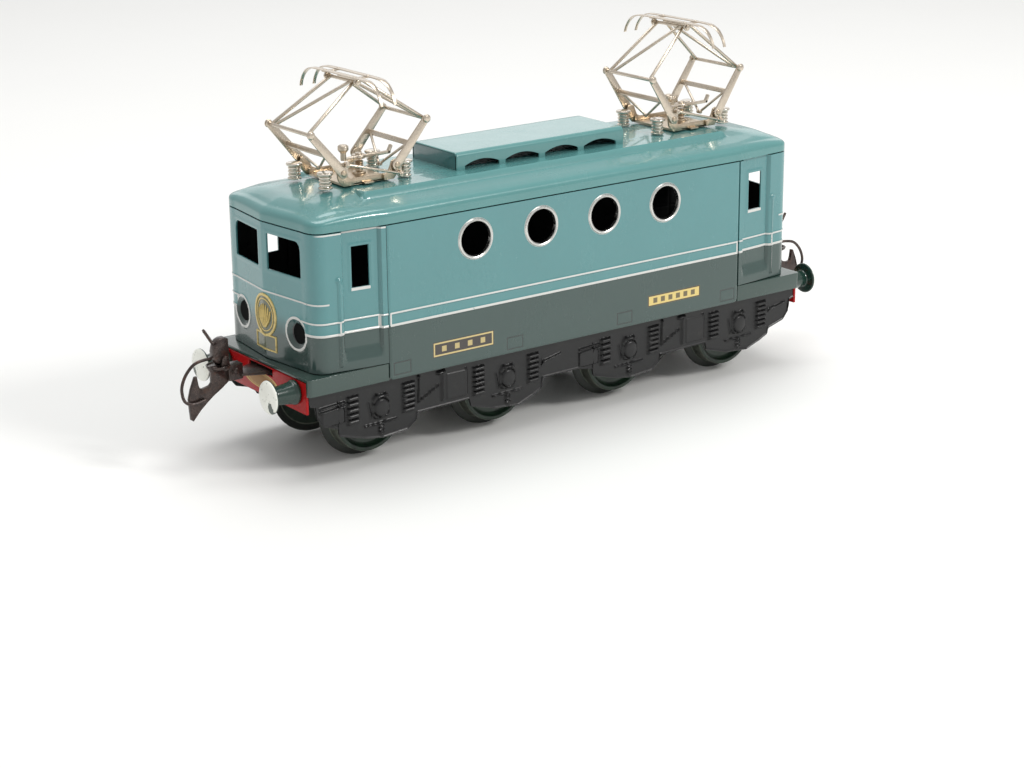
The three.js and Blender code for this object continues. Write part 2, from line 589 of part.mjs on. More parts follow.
// Lower arm frame on side sx: two strips and their cross bars.
function pantoArm(xc, sx, raise) {
  const { kneeX, kneeZ } = linkage(raise);
  const foot = [xc + sx * PIVOT_HALF, PIVOT_Z];
  const knee = [xc + sx * kneeX, kneeZ];
  const at = (t) => [foot[0] + (knee[0] - foot[0]) * t, foot[1] + (knee[1] - foot[1]) * t];
  const parts = [];
  const holes = [];
  for (const sy of [-1, 1]) {
    const y0 = sy * ARM_Y - 0.4;
    parts.push(link(foot, knee, 1.5, 1.25, y0, y0 + 0.8));
    holes.push(bar([foot[0], y0 - 1, foot[1]], [foot[0], y0 + 2, foot[1]], 0.8, 8));
    holes.push(bar([knee[0], y0 - 1, knee[1]], [knee[0], y0 + 2, knee[1]], 0.8, 8));
  }
  const [bx, bz] = at(CROSS_AT);
  parts.push(bar([bx, -ARM_Y, bz], [bx, ARM_Y, bz], 0.55, 8));
  // V brace from the cross bar down to a low point beside the middle
  const [vx, vz] = at(BRACE_AT);
  for (const sy of [-1, 1]) {
    parts.push(bar([bx, sy * 10.6, bz], [vx, -sx * BRACE_Y + sy * 0.3, vz], 0.4, 6));
  }
  // lug of the cross link on the near strip
  const lug = sx < 0 ? [foot[0] + 0.9, foot[1] + 2.7] : [foot[0] + 0.9, foot[1] - 2.6];
  parts.push(link(foot, lug, 1.5, 0.8, -ARM_Y - 0.4, -ARM_Y + 0.4));
  return cut(join(parts), holes);
}

// Upper frame on side sx: knee bar, two struts, a diagonal and the apex bar.
function pantoFrame(xc, sx, raise) {
  const { kneeX, kneeZ, apexZ } = linkage(raise);
  const kx = xc + sx * kneeX;
  const ax = xc + sx * APEX_HALF;
  const r = 0.45;
  const parts = [bar([kx, -13.0, kneeZ], [kx, 13.0, kneeZ], 0.5, 8)];
  for (const sy of [-1, 1]) {
    parts.push(bar([kx, sy * 12.6, kneeZ], [kx, sy * 13.15, kneeZ], 1.1));
    parts.push(bar([kx, sy * 10.6, kneeZ], [ax, sy * 6.6, apexZ], r, 6));
  }
  parts.push(bar([kx, sx * -8.8, kneeZ], [ax, sx * 5.0, apexZ], r, 6));
  // the apex bar of frame a also carries the collector head
  const half = sx < 0 ? 9.3 : 7.2;
  parts.push(bar([ax, -half, apexZ], [ax, half, apexZ], 0.55));
  return join(parts);
}

function pantoHead(xc, raise) {
  const { apexZ } = linkage(raise);
  const top = apexZ + HEAD_RISE;
  // flat bow with horns that curve down at both ends, one half mirrored to the other
  const upper = [[0, 0], [15.0, -0.2], [18.9, -1.2], [21.8, -3.6], [23.5, -7.0]];
  const lower = [[22.6, -7.2], [21.1, -4.2], [18.5, -2.0], [14.9, -0.95], [0, -0.75]];
  const half = [...upper, ...lower.slice(0, -1)];
  const section = [
    ...half.map(([y, z]) => [y, top + z]), [0, top - 0.75],
    ...half.slice(1).reverse().map(([y, z]) => [-y, top + z]),
  ].reverse();
  const parts = [-BOW_X, BOW_X].map((dx) => prismX(section, xc + dx - BOW_HALF, xc + dx + BOW_HALF));
  for (const s of [-1, 1]) {
    parts.push(box(xc - 3.1, xc + 3.1, s * 8.4 - 0.9, s * 8.4 + 0.9, top - 0.95, top - 0.35));
    parts.push(link([xc - APEX_HALF, apexZ], [xc - APEX_HALF, top - 1.3], 1.2, 0.9,
      s > 0 ? 8.2 : -8.8, s > 0 ? 8.8 : -8.2));
  }
  const holes = [-1, 1].map((s) => bar(
    [xc - APEX_HALF, s * 7.6, apexZ], [xc - APEX_HALF, s * 9.6, apexZ], 0.8, 8));
  return cut(join(parts), holes);
}

function crossLink(xc) {
  const a = [xc - PIVOT_HALF + 0.9, PIVOT_Z + 2.7];
  const b = [xc + PIVOT_HALF + 0.9, PIVOT_Z - 2.6];
  const y0 = -ARM_Y - 1.5;
  const eyes = [a, b].map(([x, z]) => bar([x, y0, z], [x, y0 + 0.8, z], 0.8));
  return join([link(a, b, 0.45, 0.45, y0, y0 + 0.8), ...eyes]);
}

function catchLever(xc) {
  const x = xc + 3.5;
  const flat = (from, to) => link(from, to, 0.5, 0.5, CATCH_Y - 0.6, CATCH_Y + 0.6);
  const strip = flat([x - 6.0, 90.9], [x + 10.5, 91.1]);
  const eye = bar([x, 0, 90.4], [x, 0, 91.6], 2.2, 10);
  const nose = flat([x + 10.3, 91.1], [x + 11.2, 92.9]);
  const knobProfile = [[0, 0], [1.0, 0], [1.0, 2.6], [1.7, 3.2], [1.7, 4.6], [0, 5.0]];
  const knob = turned(knobProfile, [x - 6.2, CATCH_Y, 90.6], [0, 0, 1], 10);
  return join([strip, eye, nose, knob]);
}

function insulator(x, y) {
  return turned(
    [[0, 0], [2.5, 0], [1.7, 1.1], [2.4, 2.0], [1.7, 2.9], [2.4, 3.7], [1.8, 4.5], [2.3, 5.4], [0, 5.4]],
    [x, y, 84.75], [0, 0, 1], 10);
}

for (const [end, xc, raise] of [['front', -PANTO_X, FRONT_RAISE], ['rear', PANTO_X, REAR_RAISE]]) {
  place(`panto_${end}_base`, pantoBase(xc), 'nickel');
  place(`panto_${end}_arm_a`, pantoArm(xc, -1, raise), 'nickel');
  place(`panto_${end}_arm_b`, pantoArm(xc, 1, raise), 'nickel');
  place(`panto_${end}_frame_a`, pantoFrame(xc, -1, raise), 'nickel');
  place(`panto_${end}_frame_b`, pantoFrame(xc, 1, raise), 'nickel');
  place(`panto_${end}_head`, pantoHead(xc, raise), 'nickel');
  place(`panto_${end}_link`, crossLink(xc), 'nickel');
  place(`panto_${end}_catch`, catchLever(xc), 'nickel');
  for (const [i, [sx, sy]] of [[-1, -1], [-1, 1], [1, -1], [1, 1]].entries()) {
    place(`insulator_${end}_${i + 1}`, insulator(xc + sx * 14.4, sy * 9.0), 'nickel');
  }
}

export default model;
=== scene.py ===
import json
import math

import bmesh
import bpy
from mathutils import Matrix, Vector

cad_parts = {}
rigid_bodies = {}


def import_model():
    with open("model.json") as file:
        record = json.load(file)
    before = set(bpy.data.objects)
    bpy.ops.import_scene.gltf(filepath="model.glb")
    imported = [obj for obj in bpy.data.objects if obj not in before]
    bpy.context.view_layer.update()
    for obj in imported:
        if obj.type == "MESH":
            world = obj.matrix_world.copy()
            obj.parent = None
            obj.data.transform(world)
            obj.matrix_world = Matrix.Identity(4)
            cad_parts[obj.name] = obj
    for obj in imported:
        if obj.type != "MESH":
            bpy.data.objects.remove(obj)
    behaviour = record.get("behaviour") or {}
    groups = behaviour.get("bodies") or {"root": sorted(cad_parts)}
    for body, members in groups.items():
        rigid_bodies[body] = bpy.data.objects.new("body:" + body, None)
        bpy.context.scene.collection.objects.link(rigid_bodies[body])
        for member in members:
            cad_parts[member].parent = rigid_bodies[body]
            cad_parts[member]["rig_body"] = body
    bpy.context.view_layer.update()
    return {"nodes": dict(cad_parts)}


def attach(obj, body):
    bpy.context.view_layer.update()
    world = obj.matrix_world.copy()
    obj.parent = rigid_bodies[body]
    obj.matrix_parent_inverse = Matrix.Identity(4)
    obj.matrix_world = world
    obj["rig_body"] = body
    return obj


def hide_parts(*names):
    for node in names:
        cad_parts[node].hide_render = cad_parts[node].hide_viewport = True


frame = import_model()
MM = 0.001
HALF_TURN = Matrix.Rotation(math.pi, 4, "Z")


# ------------------------------------------------------------------ shader helpers
class Val:
    """A node socket with arithmetic, so that masks read as formulas."""

    def __init__(self, tree, socket):
        self.tree, self.socket = tree, socket

    def _math(self, op, *args):
        node = self.tree.nodes.new("ShaderNodeMath")
        node.operation = op
        for i, a in enumerate((self,) + args):
            if isinstance(a, Val):
                self.tree.links.new(a.socket, node.inputs[i])
            else:
                node.inputs[i].default_value = a
        return Val(self.tree, node.outputs[0])

    def __add__(self, other):
        return self._math("ADD", other)

    def __sub__(self, other):
        return self._math("SUBTRACT", other)

    def __rsub__(self, other):
        return self._math("MULTIPLY", -1.0)._math("ADD", other)

    def __mul__(self, other):
        return self._math("MULTIPLY", other)

    def __truediv__(self, other):
        return self._math("DIVIDE", other)

    def abs(self):
        return self._math("ABSOLUTE")

    def sqrt(self):
        return self._math("SQRT")

    def max(self, other):
        return self._math("MAXIMUM", other)

    def min(self, other):
        return self._math("MINIMUM", other)

    def ramp(self, low, high):
        """0 below low and 1 above high, smooth between; falls when low > high."""
        node = self.tree.nodes.new("ShaderNodeMapRange")
        node.interpolation_type = "SMOOTHSTEP"
        flip = low > high
        node.inputs["From Min"].default_value = min(low, high)
        node.inputs["From Max"].default_value = max(low, high)
        node.inputs["To Min"].default_value = 1.0 if flip else 0.0
        node.inputs["To Max"].default_value = 0.0 if flip else 1.0
        self.tree.links.new(self.socket, node.inputs["Value"])
        return Val(self.tree, node.outputs["Result"])

    def line(self, centre, half, soft=0.05):
        """1 within half of centre."""
        return (self - centre).abs().ramp(half + soft, half - soft)

    def between(self, low, high, soft=0.05):
        return self.ramp(low - soft, low + soft) * self.ramp(high + soft, high - soft)


class Material:
    """A procedural material: coordinates in millimetres, layered colours, roughness, metal and bump."""

    def __init__(self, name, roughness, metallic=0.0, coat=0.0, coat_roughness=0.08, specular=0.5):
        self.mat = bpy.data.materials.new(name)
        self.mat.use_nodes = True
        self.tree = self.mat.node_tree
        self.shader = self.tree.nodes["Principled BSDF"]
        self.shader.inputs["Roughness"].default_value = roughness
        self.shader.inputs["Metallic"].default_value = metallic
        self.shader.inputs["Coat Weight"].default_value = coat
        self.shader.inputs["Coat Roughness"].default_value = coat_roughness
        self.shader.inputs["Specular IOR Level"].default_value = specular
        coords = self.tree.nodes.new("ShaderNodeTexCoord")
        scale = self.tree.nodes.new("ShaderNodeVectorMath")
        scale.operation = "SCALE"
        scale.inputs["Scale"].default_value = 1000.0
        self.tree.links.new(coords.outputs["Object"], scale.inputs[0])
        self.point = scale.outputs[0]
        split = self.tree.nodes.new("ShaderNodeSeparateXYZ")
        self.tree.links.new(self.point, split.inputs[0])
        self.x, self.y, self.z = (Val(self.tree, split.outputs[i]) for i in range(3))
        self.colour = None

    def noise(self, scale, detail=4.0, rough=0.55, stretch=(1, 1, 1), offset=0.0):
        """Cloudy noise from 0 to 1; scale is in features per millimetre."""
        at = self.tree.nodes.new("ShaderNodeMapping")
        at.inputs["Scale"].default_value = stretch
        at.inputs["Location"].default_value = (offset, offset * 0.7, offset * 1.3)
        self.tree.links.new(self.point, at.inputs[0])
        node = self.tree.nodes.new("ShaderNodeTexNoise")
        node.inputs["Scale"].default_value = scale
        node.inputs["Detail"].default_value = detail
        node.inputs["Roughness"].default_value = rough
        self.tree.links.new(at.outputs[0], node.inputs["Vector"])
        return Val(self.tree, node.outputs["Fac"])

    def base(self, rgb):
        node = self.tree.nodes.new("ShaderNodeRGB")
        node.outputs[0].default_value = (*rgb, 1.0)
        self.colour = node.outputs[0]

    def layer(self, rgb, mask):
        """Paints rgb over the colour so far where mask is 1."""
        mix = self.tree.nodes.new("ShaderNodeMix")
        mix.data_type = "RGBA"
        mix.clamp_factor = True
        self.tree.links.new(self.colour, mix.inputs[6])
        mix.inputs[7].default_value = (*rgb, 1.0)
        self.tree.links.new(mask.socket, mix.inputs[0])
        self.colour = mix.outputs[2]

    def shade(self, amount):
        """Multiplies the colour by a value."""
        node = self.tree.nodes.new("ShaderNodeVectorMath")
        node.operation = "SCALE"
        self.tree.links.new(self.colour, node.inputs[0])
        self.tree.links.new(amount.socket, node.inputs["Scale"])
        self.colour = node.outputs[0]

    def socket(self, name, value):
        self.tree.links.new(value.socket, self.shader.inputs[name])

    def bump(self, height, distance=0.05, strength=1.0):
        node = self.tree.nodes.new("ShaderNodeBump")
        node.inputs["Distance"].default_value = distance * MM
        node.inputs["Strength"].default_value = strength
        self.tree.links.new(height.socket, node.inputs["Height"])
        self.tree.links.new(node.outputs[0], self.shader.inputs["Normal"])

    def done(self):
        self.tree.links.new(self.colour, self.shader.inputs["Base Color"])
        return self.mat


def rgb(r, g, b):
    """Linear colour from 8-bit sRGB."""
    return tuple(((c / 255 + 0.055) / 1.055) ** 2.4 if c > 10 else c / 255 / 12.92 for c in (r, g, b))


TURQUOISE = rgb(82, 137, 139)
ROOF_TURQUOISE = rgb(84, 139, 138)
DARK_GREEN = rgb(50, 72, 68)
SILVER = rgb(212, 212, 208)
GOLD = rgb(204, 184, 124)
NICKEL = rgb(208, 196, 180)
# near-black standing in for the shade inside the body: painted shade on inner faces, behind joints and in
# lamp holes
INSIDE_SHADE = rgb(22, 24, 24)


def enamel_finish(m, wear=1.0):
    """Fine orange peel, faint dirt and a few tiny chips, shared by the painted tin."""
    peel = m.noise(0.45, 3.0, 0.5)
    grit = m.noise(4.0, 2.0, 0.6, offset=7.0)
    cloud = m.noise(0.05, 4.0, 0.6, offset=3.0)
    m.shade(cloud * 0.14 + peel * 0.03 + grit * 0.05 + 0.89)
    specks = m.noise(1.9, 2.0, 0.5, offset=19.0).ramp(0.79, 0.82)
    m.layer(rgb(176, 186, 176), specks * (0.35 * wear))
    dark = m.noise(1.5, 2.0, 0.5, offset=41.0).ramp(0.78, 0.82)
    m.layer(rgb(48, 60, 56), dark * (0.3 * wear))
    smear = m.noise(0.12, 5.0, 0.65, stretch=(1, 1, 0.5), offset=11.0)
    m.socket("Roughness", smear * 0.2 + grit * 0.06 + 0.12)
    m.bump(peel * 0.8 + grit * 0.15 + cloud * 1.2, 0.045)


def beads(z):
    """Mask of the two raised silver lines."""
    return z.line(LINE_LOW, 0.38).max(z.line(LINE_HIGH, 0.27))


# ------------------------------------------------------------------ driving dimensions
FRAME_HALF = 100.0
NOSE_X, CORNER_X, CORNER_Y = 97.8, 91.2, 26.6
SEAM_X, BODY_HALF_Y = 71.0, 28.6
BODY_Z0, SEAM_Z = 32.7, 75.7
LINE_LOW, LINE_HIGH, LINE_THIN = 44.4, 48.2, 54.1
LAMP_Y, LAMP_Z, RING_R = 16.0, 43.6, 5.0
PORT_X, PORT_Z = (-38.2, -12.73, 12.73, 38.2), 66.6
DOOR_X = (-66.35, -23.4, 21.4, 66.2)
BOGIE_X, WHEEL_X = 49.25, 24.15
AXLES = [-BOGIE_X - WHEEL_X, -BOGIE_X + WHEEL_X, BOGIE_X - WHEEL_X, BOGIE_X + WHEEL_X]
WHEEL_R = 14.9
SIDE_NAME = {-1: "left", 1: "right"}
END_SIGN = {"front": -1, "rear": 1}
BUFFER_Y, BUFFER_Z = 20.8, 27.3
# door recess in the cab side with its handrail post; embossed rectangles low on the side
DOOR_FRONT, DOOR_BACK, DOOR_FOOT, POST_X = 85.8, 73.2, 34.6, 87.3
MARK_Z, MARK_HALF_X, MARK_HALF_Z = 30.3, 3.05, 1.9
# plates: ends along the side, lower and upper edge, field, border, border width, number of plain marks
PLATES = (
    (-54.7, -32.0, 31.3, 35.7, rgb(52, 46, 42), GOLD, 0.5, 4),
    (31.3, 53.9, 32.1, 35.9, rgb(220, 196, 118), rgb(58, 50, 40), 0.38, 6),
)
# badge on the nose: centre height and half sizes of the oval, lower and upper edge of the plate
BADGE_Z, BADGE_RY, BADGE_RZ, TAG_Z0, TAG_Z1, TAG_HALF = 46.4, 5.8, 6.4, 35.2, 40.4, 5.9
# pantographs: middle along the roof and angle of the lower arms in degrees
PANTO = {"front": (-65.4, 49.4), "rear": (65.4, 56.1)}
PIVOT_HALF, PIVOT_Z, ARM_LEN, FRAME_LEN, APEX_HALF, ARM_Y, BOW_X = 9.7, 89.4, 17.2, 23.4, 1.6, 12.0, 2.4


# ------------------------------------------------------------------ materials
def distance(dx, dz):
    return (dx * dx + dz * dz).sqrt()


def nearest_centre(m, centres, height):
    """Distance, seen from the side, to the nearest of the centres."""
    nearest = None
    for x in centres:
        r = distance(m.x - x, m.z - height)
        nearest = r if nearest is None else nearest.min(r)
    return nearest


def cab_marks(m, ax, ay):
    """Dark lower half of a cab; returns the mask of its silver lines, rings and posts."""
    # between the lamps the two colours fade into each other, elsewhere the lower line parts them
    front = ax.ramp(94.0, 94.8) * ay.ramp(15.5, 13.0)
    edge = m.z.ramp(LINE_LOW + 0.05, LINE_LOW - 0.05)
    soft = (m.z + m.noise(0.15) * 2.0).ramp(50.5, 41.5)
    m.layer(DARK_GREEN, edge * (1 - front) + soft * front)
    dy = ay - LAMP_Y
    r = distance(dy, m.z - LAMP_Z)
    on_front = ax.ramp(94.0, 94.6)
    m.layer(rgb(44, 62, 58), on_front * r.ramp(4.7, 4.5) * 0.75)
    # near-black ring round the hole on the dish: painted shade of the lamp hole
    m.layer(INSIDE_SHADE, on_front * r.ramp(3.35, 3.1))
    side_open = dy.ramp(3.8, 4.2) * m.z.between(LINE_LOW + 0.3, LINE_HIGH - 0.4)
    ring = on_front * r.line(RING_R, 0.4) * (1 - side_open)
    beyond = (1 - on_front).max(ay.ramp(LAMP_Y + 0.5, LAMP_Y + 0.8))
    outside = (1 - on_front).max(r.ramp(4.7, 4.9))
    lines = beads(m.z) * beyond * outside
    thin = m.z.line(LINE_THIN, 0.26) * ax.ramp(90.6, 90.9)
    post = (ax.line(POST_X, 0.3).max(ax.line(73.5, 0.32))) * m.z.between(LINE_LOW, LINE_HIGH)
    sill = ax.between(76.2, 82.6) * m.z.line(57.4, 0.45) * ay.ramp(24.0, 25.0)
    top = m.z.line(SEAM_Z - 0.35, 0.24) * ay.ramp(24.5, 26.5) * m.x.ramp(-60.0, -61.0)
    return ring.max(lines).max(thin).max(post * (1 - on_front)).max(sill).max(top)


def cover_marks(m, ax, ay):
    """Dark lower half, embossed rectangles outlined in painted shade, and plain plates of a side cover;
    returns the silver mask.
    """
    m.layer(DARK_GREEN, m.z.ramp(LINE_LOW + 0.05, LINE_LOW - 0.05))
    ends = ax.line(70.2, 0.3) * m.z.between(LINE_LOW, LINE_HIGH)
    mask = (beads(m.z) * ax.ramp(70.5, 70.3)).max(ends)
    mask = mask.max(nearest_centre(m, PORT_X, PORT_Z).ramp(6.75, 6.6))
    along = m.x * (m.y / (ay.max(0.001))) * -1.0
    # dark outline round each embossed rectangle: painted shade along its pressed edges
    for cx in DOOR_X:
        edge = ((along - cx).abs() - MARK_HALF_X).max((m.z - MARK_Z).abs() - MARK_HALF_Z)
        m.layer(rgb(24, 36, 34), edge.line(0.0, 0.22, 0.14) * 0.8)
    for x0, x1, z0, z1, field, border, width, marks in PLATES:
        outer = along.between(x0, x1) * m.z.between(z0, z1)
        inner = along.between(x0 + width, x1 - width) * m.z.between(z0 + width, z1 - width)
        if border == GOLD:
            m.layer(field, along.between(x0 - 0.25, x1 + 0.25) * m.z.between(z0 - 0.25, z1 + 0.25))
        m.layer(field, outer)
        # evenly spaced plain marks
        pitch = (x1 - x0 - 3.0) / marks
        for k in range(marks):
            at = x0 + 1.5 + pitch * (k + 0.5)
            in_x = (along - at).abs().ramp(0.95, 0.8)
            in_z = (m.z - (z0 + z1) / 2).abs().ramp(0.95, 0.8)
            m.layer(border, in_x * in_z * 0.85)
        m.layer(border, outer * (1 - inner))
    return mask


def tin_body(name, marks):
    m = Material(name, 0.3, coat=0.6, coat_roughness=0.05)
    ax, ay = m.x.abs(), m.y.abs()
    m.base(TURQUOISE)
    mask = marks(m, ax, ay)
    # thin dark line just under each raised silver line: painted shadow of the bead
    under = m.z.line(LINE_LOW - 0.62, 0.1, 0.14).max(m.z.line(LINE_HIGH - 0.5, 0.08, 0.12))
    m.layer(rgb(26, 44, 44), under * (1 - mask) * (1 - ax.ramp(94.0, 94.6)) * 0.5)
    worn = m.noise(0.9, 4.0, 0.6, offset=29.0).ramp(0.66, 0.72)
    m.layer(SILVER, mask * (1 - worn * 0.7))
    enamel_finish(m)
    return m.done()


def painted(name, colour, wear=1.0, coat=0.6):
    m = Material(name, 0.3, coat=coat, coat_roughness=0.05)
    m.base(colour)
    enamel_finish(m, wear)
    return m.done()


# dark metal whose colour is painted shade: the shade inside the body, behind joints and in holes
def painted_shade_metal(name="inside_painted_shade", colour=INSIDE_SHADE, specular=0.3):
    m = Material(name, 0.8, specular=specular)
    m.base(colour)
    m.shade(m.noise(0.4) * 0.8 + 0.6)
    m.socket("Roughness", m.noise(0.8) * 0.2 + 0.65)
    m.bump(m.noise(2.0), 0.02)
    return m.done()


def black_side():
    m = Material("side_frame_black", 0.35, coat=0.15, coat_roughness=0.15, specular=0.35)
    m.base(rgb(25, 25, 26))
    cloud = m.noise(0.12, 4.0, 0.6)
    grit = m.noise(3.0, 3.0, 0.6, offset=4.0)
    m.shade(cloud * 0.5 + grit * 0.25 + 0.62)
    m.layer(rgb(84, 86, 84), m.noise(0.9, 4.0, 0.6, offset=8.0).ramp(0.70, 0.78) * 0.4)
    m.layer(rgb(58, 56, 52), m.noise(0.25, 5.0, 0.65, offset=15.0).ramp(0.55, 0.75) * 0.3)
    m.socket("Roughness", cloud * 0.2 + grit * 0.1 + 0.2)
    m.bump(grit * 0.5 + m.noise(0.7, 3.0) * 1.0, 0.05)
    return m.done()


def metal(name, colour, rough=0.28, tarnish=0.3, brush=(1, 1, 1), stain=rgb(110, 92, 74), bump=0.03):
    m = Material(name, rough, metallic=1.0)
    m.base(colour)
    cloud = m.noise(0.35, 5.0, 0.62)
    fine = m.noise(2.5, 4.0, 0.6, stretch=brush, offset=3.0)
    m.layer(stain, cloud.ramp(0.5, 0.78) * tarnish)
    m.shade(fine * 0.25 + 0.86)
    m.socket("Roughness", cloud * 0.2 + fine * 0.14 + (rough - 0.14))
    m.bump(fine, bump)
    return m.done()


def browned():
    m = Material("browned_steel", 0.5, metallic=0.55, coat=0.25, coat_roughness=0.15)
    m.base(rgb(70, 58, 54))
    cloud = m.noise(0.3, 5.0, 0.65)
    grit = m.noise(2.2, 4.0, 0.65, offset=5.0)
    m.layer(rgb(92, 58, 42), cloud.ramp(0.52, 0.72) * 0.5)
    m.layer(rgb(36, 31, 31), m.noise(0.6, 4.0, 0.6, offset=9.0).ramp(0.46, 0.62) * 0.5)
    m.layer(rgb(118, 112, 106), m.noise(1.2, 4.0, 0.6, offset=13.0).ramp(0.66, 0.74) * 0.45)
    m.shade(grit * 0.3 + 0.85)
    m.socket("Roughness", grit * 0.2 + cloud * 0.12 + 0.13)
    m.bump(grit + cloud * 0.6, 0.05)
    return m.done()


def beam_red():
    m = Material("beam_red", 0.35, coat=0.08, specular=0.15)
    m.base(rgb(160, 20, 22))
    # oval label without lettering; r is 1 on its outline
    r = distance(m.y.abs() / 10.0, (m.z - 25.7) / 2.7)
    m.layer(rgb(150, 112, 66), r.ramp(1.02, 0.99))
    m.layer(rgb(206, 172, 104), r.line(0.93, 0.05, 0.02).max(r.line(0.74, 0.02, 0.01)))
    m.layer(rgb(196, 72, 62), m.noise(0.5, 5.0, 0.7, offset=6.0).ramp(0.6, 0.74) * 0.45)
    m.layer(rgb(90, 24, 24), m.noise(0.35, 5.0, 0.7, offset=16.0).ramp(0.58, 0.75) * 0.4)
    enamel_finish(m)
    return m.done()


def buffer_paint():
    m = Material("buffer_enamel", 0.3, coat=0.4)
    m.base(rgb(22, 50, 42))
    m.layer(rgb(44, 78, 66), m.noise(0.3).ramp(0.5, 0.8) * 0.4)
    # worn white disc on the head, chipped to the dark paint
    head = m.x.abs().ramp(FRAME_HALF + 9.3, FRAME_HALF + 9.5)
    dy, dz = m.y.abs() - (BUFFER_Y + 2.4), m.z - (BUFFER_Z - 3.0)
    ragged = m.noise(0.9, 4.0, 0.6, offset=5.0) * 2.4
    chips = ((dy * dy * 3.0 + dz * dz).sqrt() + ragged).ramp(3.3, 3.1)
    small = m.noise(1.1, 3.0, 0.6, offset=31.0).ramp(0.65, 0.67)
    m.layer(rgb(240, 241, 232), head * (1 - chips.max(small * 0.8) * 0.92))
    m.layer(rgb(176, 172, 152), head * m.noise(0.5, 5.0, 0.65, offset=3.0).ramp(0.55, 0.78) * 0.22)
    rough = m.noise(0.8, 4.0, 0.6, offset=2.0)
    m.socket("Roughness", head * 0.3 + rough * 0.2 + 0.1)
    m.bump(rough * 0.5 + head * (1 - chips) * 0.8, 0.08)
    return m.done()


def wheel_paint():
    m = Material("wheel_enamel", 0.35)
    r = nearest_centre(m, AXLES, WHEEL_R)
    m.base(rgb(34, 54, 40))
    cloud = m.noise(0.3, 4.0, 0.6)
    m.layer(rgb(18, 26, 22), cloud.ramp(0.42, 0.66) * 0.75)
    tread = r.between(12.3, 12.75, 0.1)
    bare = tread.max(r.ramp(2.6, 2.4))
    m.layer(rgb(30, 34, 30), r.ramp(12.7, 13.0) * (1 - m.noise(0.6, 4.0).ramp(0.5, 0.7) * 0.4))
    m.layer(rgb(118, 122, 112), bare * (1 - m.noise(0.8, 4.0).ramp(0.5, 0.75) * 0.7))
    m.socket("Metallic", bare * 0.9)
    m.socket("Roughness", cloud * 0.25 + 0.22)
    m.bump(m.noise(1.5, 4.0), 0.05)
    return m.done()


def badge_metal():
    m = Material("badge_gold", 0.35, metallic=0.4)
    m.base(rgb(214, 192, 124))
    m.layer(rgb(120, 104, 66), m.noise(0.9, 5.0, 0.65).ramp(0.5, 0.72) * 0.55)
    m.socket("Roughness", m.noise(1.2) * 0.25 + 0.2)
    m.bump(m.noise(3.0), 0.03)
    return m.done()


MATS = {
    "cab": tin_body("cab_enamel", cab_marks),
    "cover": tin_body("cover_enamel", cover_marks),
    "roof": painted("roof_enamel", ROOF_TURQUOISE, 0.6),
    # darker copy of the roof paint for the vent end plates: painted shade, as if the ends faced away from the
    # light
    "vent_end": painted("vent_end_painted_shade_enamel", rgb(56, 106, 107), 0.4),
    "green": painted("footplate_enamel", rgb(45, 67, 61), 1.0),
    # painted shade for the inner faces of the sheets and the strips behind the joints
    "inside": painted_shade_metal(),
    # near-black with little specular: painted shade for the lamp holes and the vent slots
    "hole": painted_shade_metal("hole_painted_shade", rgb(9, 10, 10), 0.1),
    "black": black_side(),
    "nickel": metal("nickel_plate", NICKEL, 0.26, 0.2, stain=rgb(138, 124, 108)),
    "nickel_bright": metal("nickel_plate_bright", rgb(222, 214, 202), 0.15, 0.14, stain=rgb(120, 108, 94)),
    "nickel_warm": metal("nickel_plate_warm", rgb(200, 184, 162), 0.28, 0.3, stain=rgb(128, 112, 94)),
    "steel": metal("plain_steel", rgb(150, 150, 146), 0.38, 0.35, brush=(6, 1, 6)),
    "browned": browned(),
    "red": beam_red(),
    "buffer": buffer_paint(),
    "wheel": wheel_paint(),
    "rim": metal("port_rim", rgb(214, 214, 210), 0.25, 0.25, stain=rgb(150, 150, 146)),
    "badge": badge_metal(),
    "badge_field": painted("badge_field", rgb(92, 98, 76), 0.6),
}


# ------------------------------------------------------------------ mesh helpers
def raw_mesh(name, verts, faces):
    mesh = bpy.data.meshes.new(name)
    mesh.from_pydata([tuple(c * MM for c in v) for v in verts], [], faces)
    return mesh


def mesh_of(name, verts, faces, body, slot, mats, node=None, smooth=35.0, turn=False):
    """Makes one piece from points in millimetres, hangs it on a CAD body and hides the node it stands for."""
    mesh = raw_mesh(name, verts, faces)
    if turn:
        mesh.transform(HALF_TURN)
    return finish_mesh(name, mesh, body, mats, node, smooth)


def finish_mesh(name, mesh, body, mats, node=None, smooth=35.0):
    mesh.validate()
    bm = bmesh.new()
    bm.from_mesh(mesh)
    bmesh.ops.remove_doubles(bm, verts=bm.verts, dist=1e-6)
    bmesh.ops.recalc_face_normals(bm, faces=bm.faces)
    bm.to_mesh(mesh)
    bm.free()
    obj = bpy.data.objects.new(name, mesh)
    bpy.context.scene.collection.objects.link(obj)
    for m in (mats if isinstance(mats, (list, tuple)) else [mats]):
        mesh.materials.append(m)
    shade(mesh, smooth)
    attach(obj, body)
    if node:
        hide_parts(node)
    return obj


def shade(mesh, angle):
    for p in mesh.polygons:
        p.use_smooth = True
    mesh.set_sharp_from_angle(angle=math.radians(angle))


def apply_mods(obj):
    """Bakes the modifiers of an object into its mesh."""
    depsgraph = bpy.context.evaluated_depsgraph_get()
    baked = bpy.data.meshes.new_from_object(obj.evaluated_get(depsgraph))
    obj.modifiers.clear()
    old, obj.data = obj.data, baked
    bpy.data.meshes.remove(old)


def make_sheet(obj, thickness, outward, inner_slot=1):
    """Turns a single skin into sheet; outward(face) is positive where a face looks to the outside."""
    bm = bmesh.new()
    bm.from_mesh(obj.data)
    if sum(outward(f) for f in bm.faces) < 0:
        bmesh.ops.reverse_faces(bm, faces=bm.faces)
    bm.to_mesh(obj.data)
    bm.free()
    mod = obj.modifiers.new("sheet", "SOLIDIFY")
    mod.thickness = thickness * MM
    mod.offset = -1.0
    mod.material_offset = inner_slot
    apply_mods(obj)


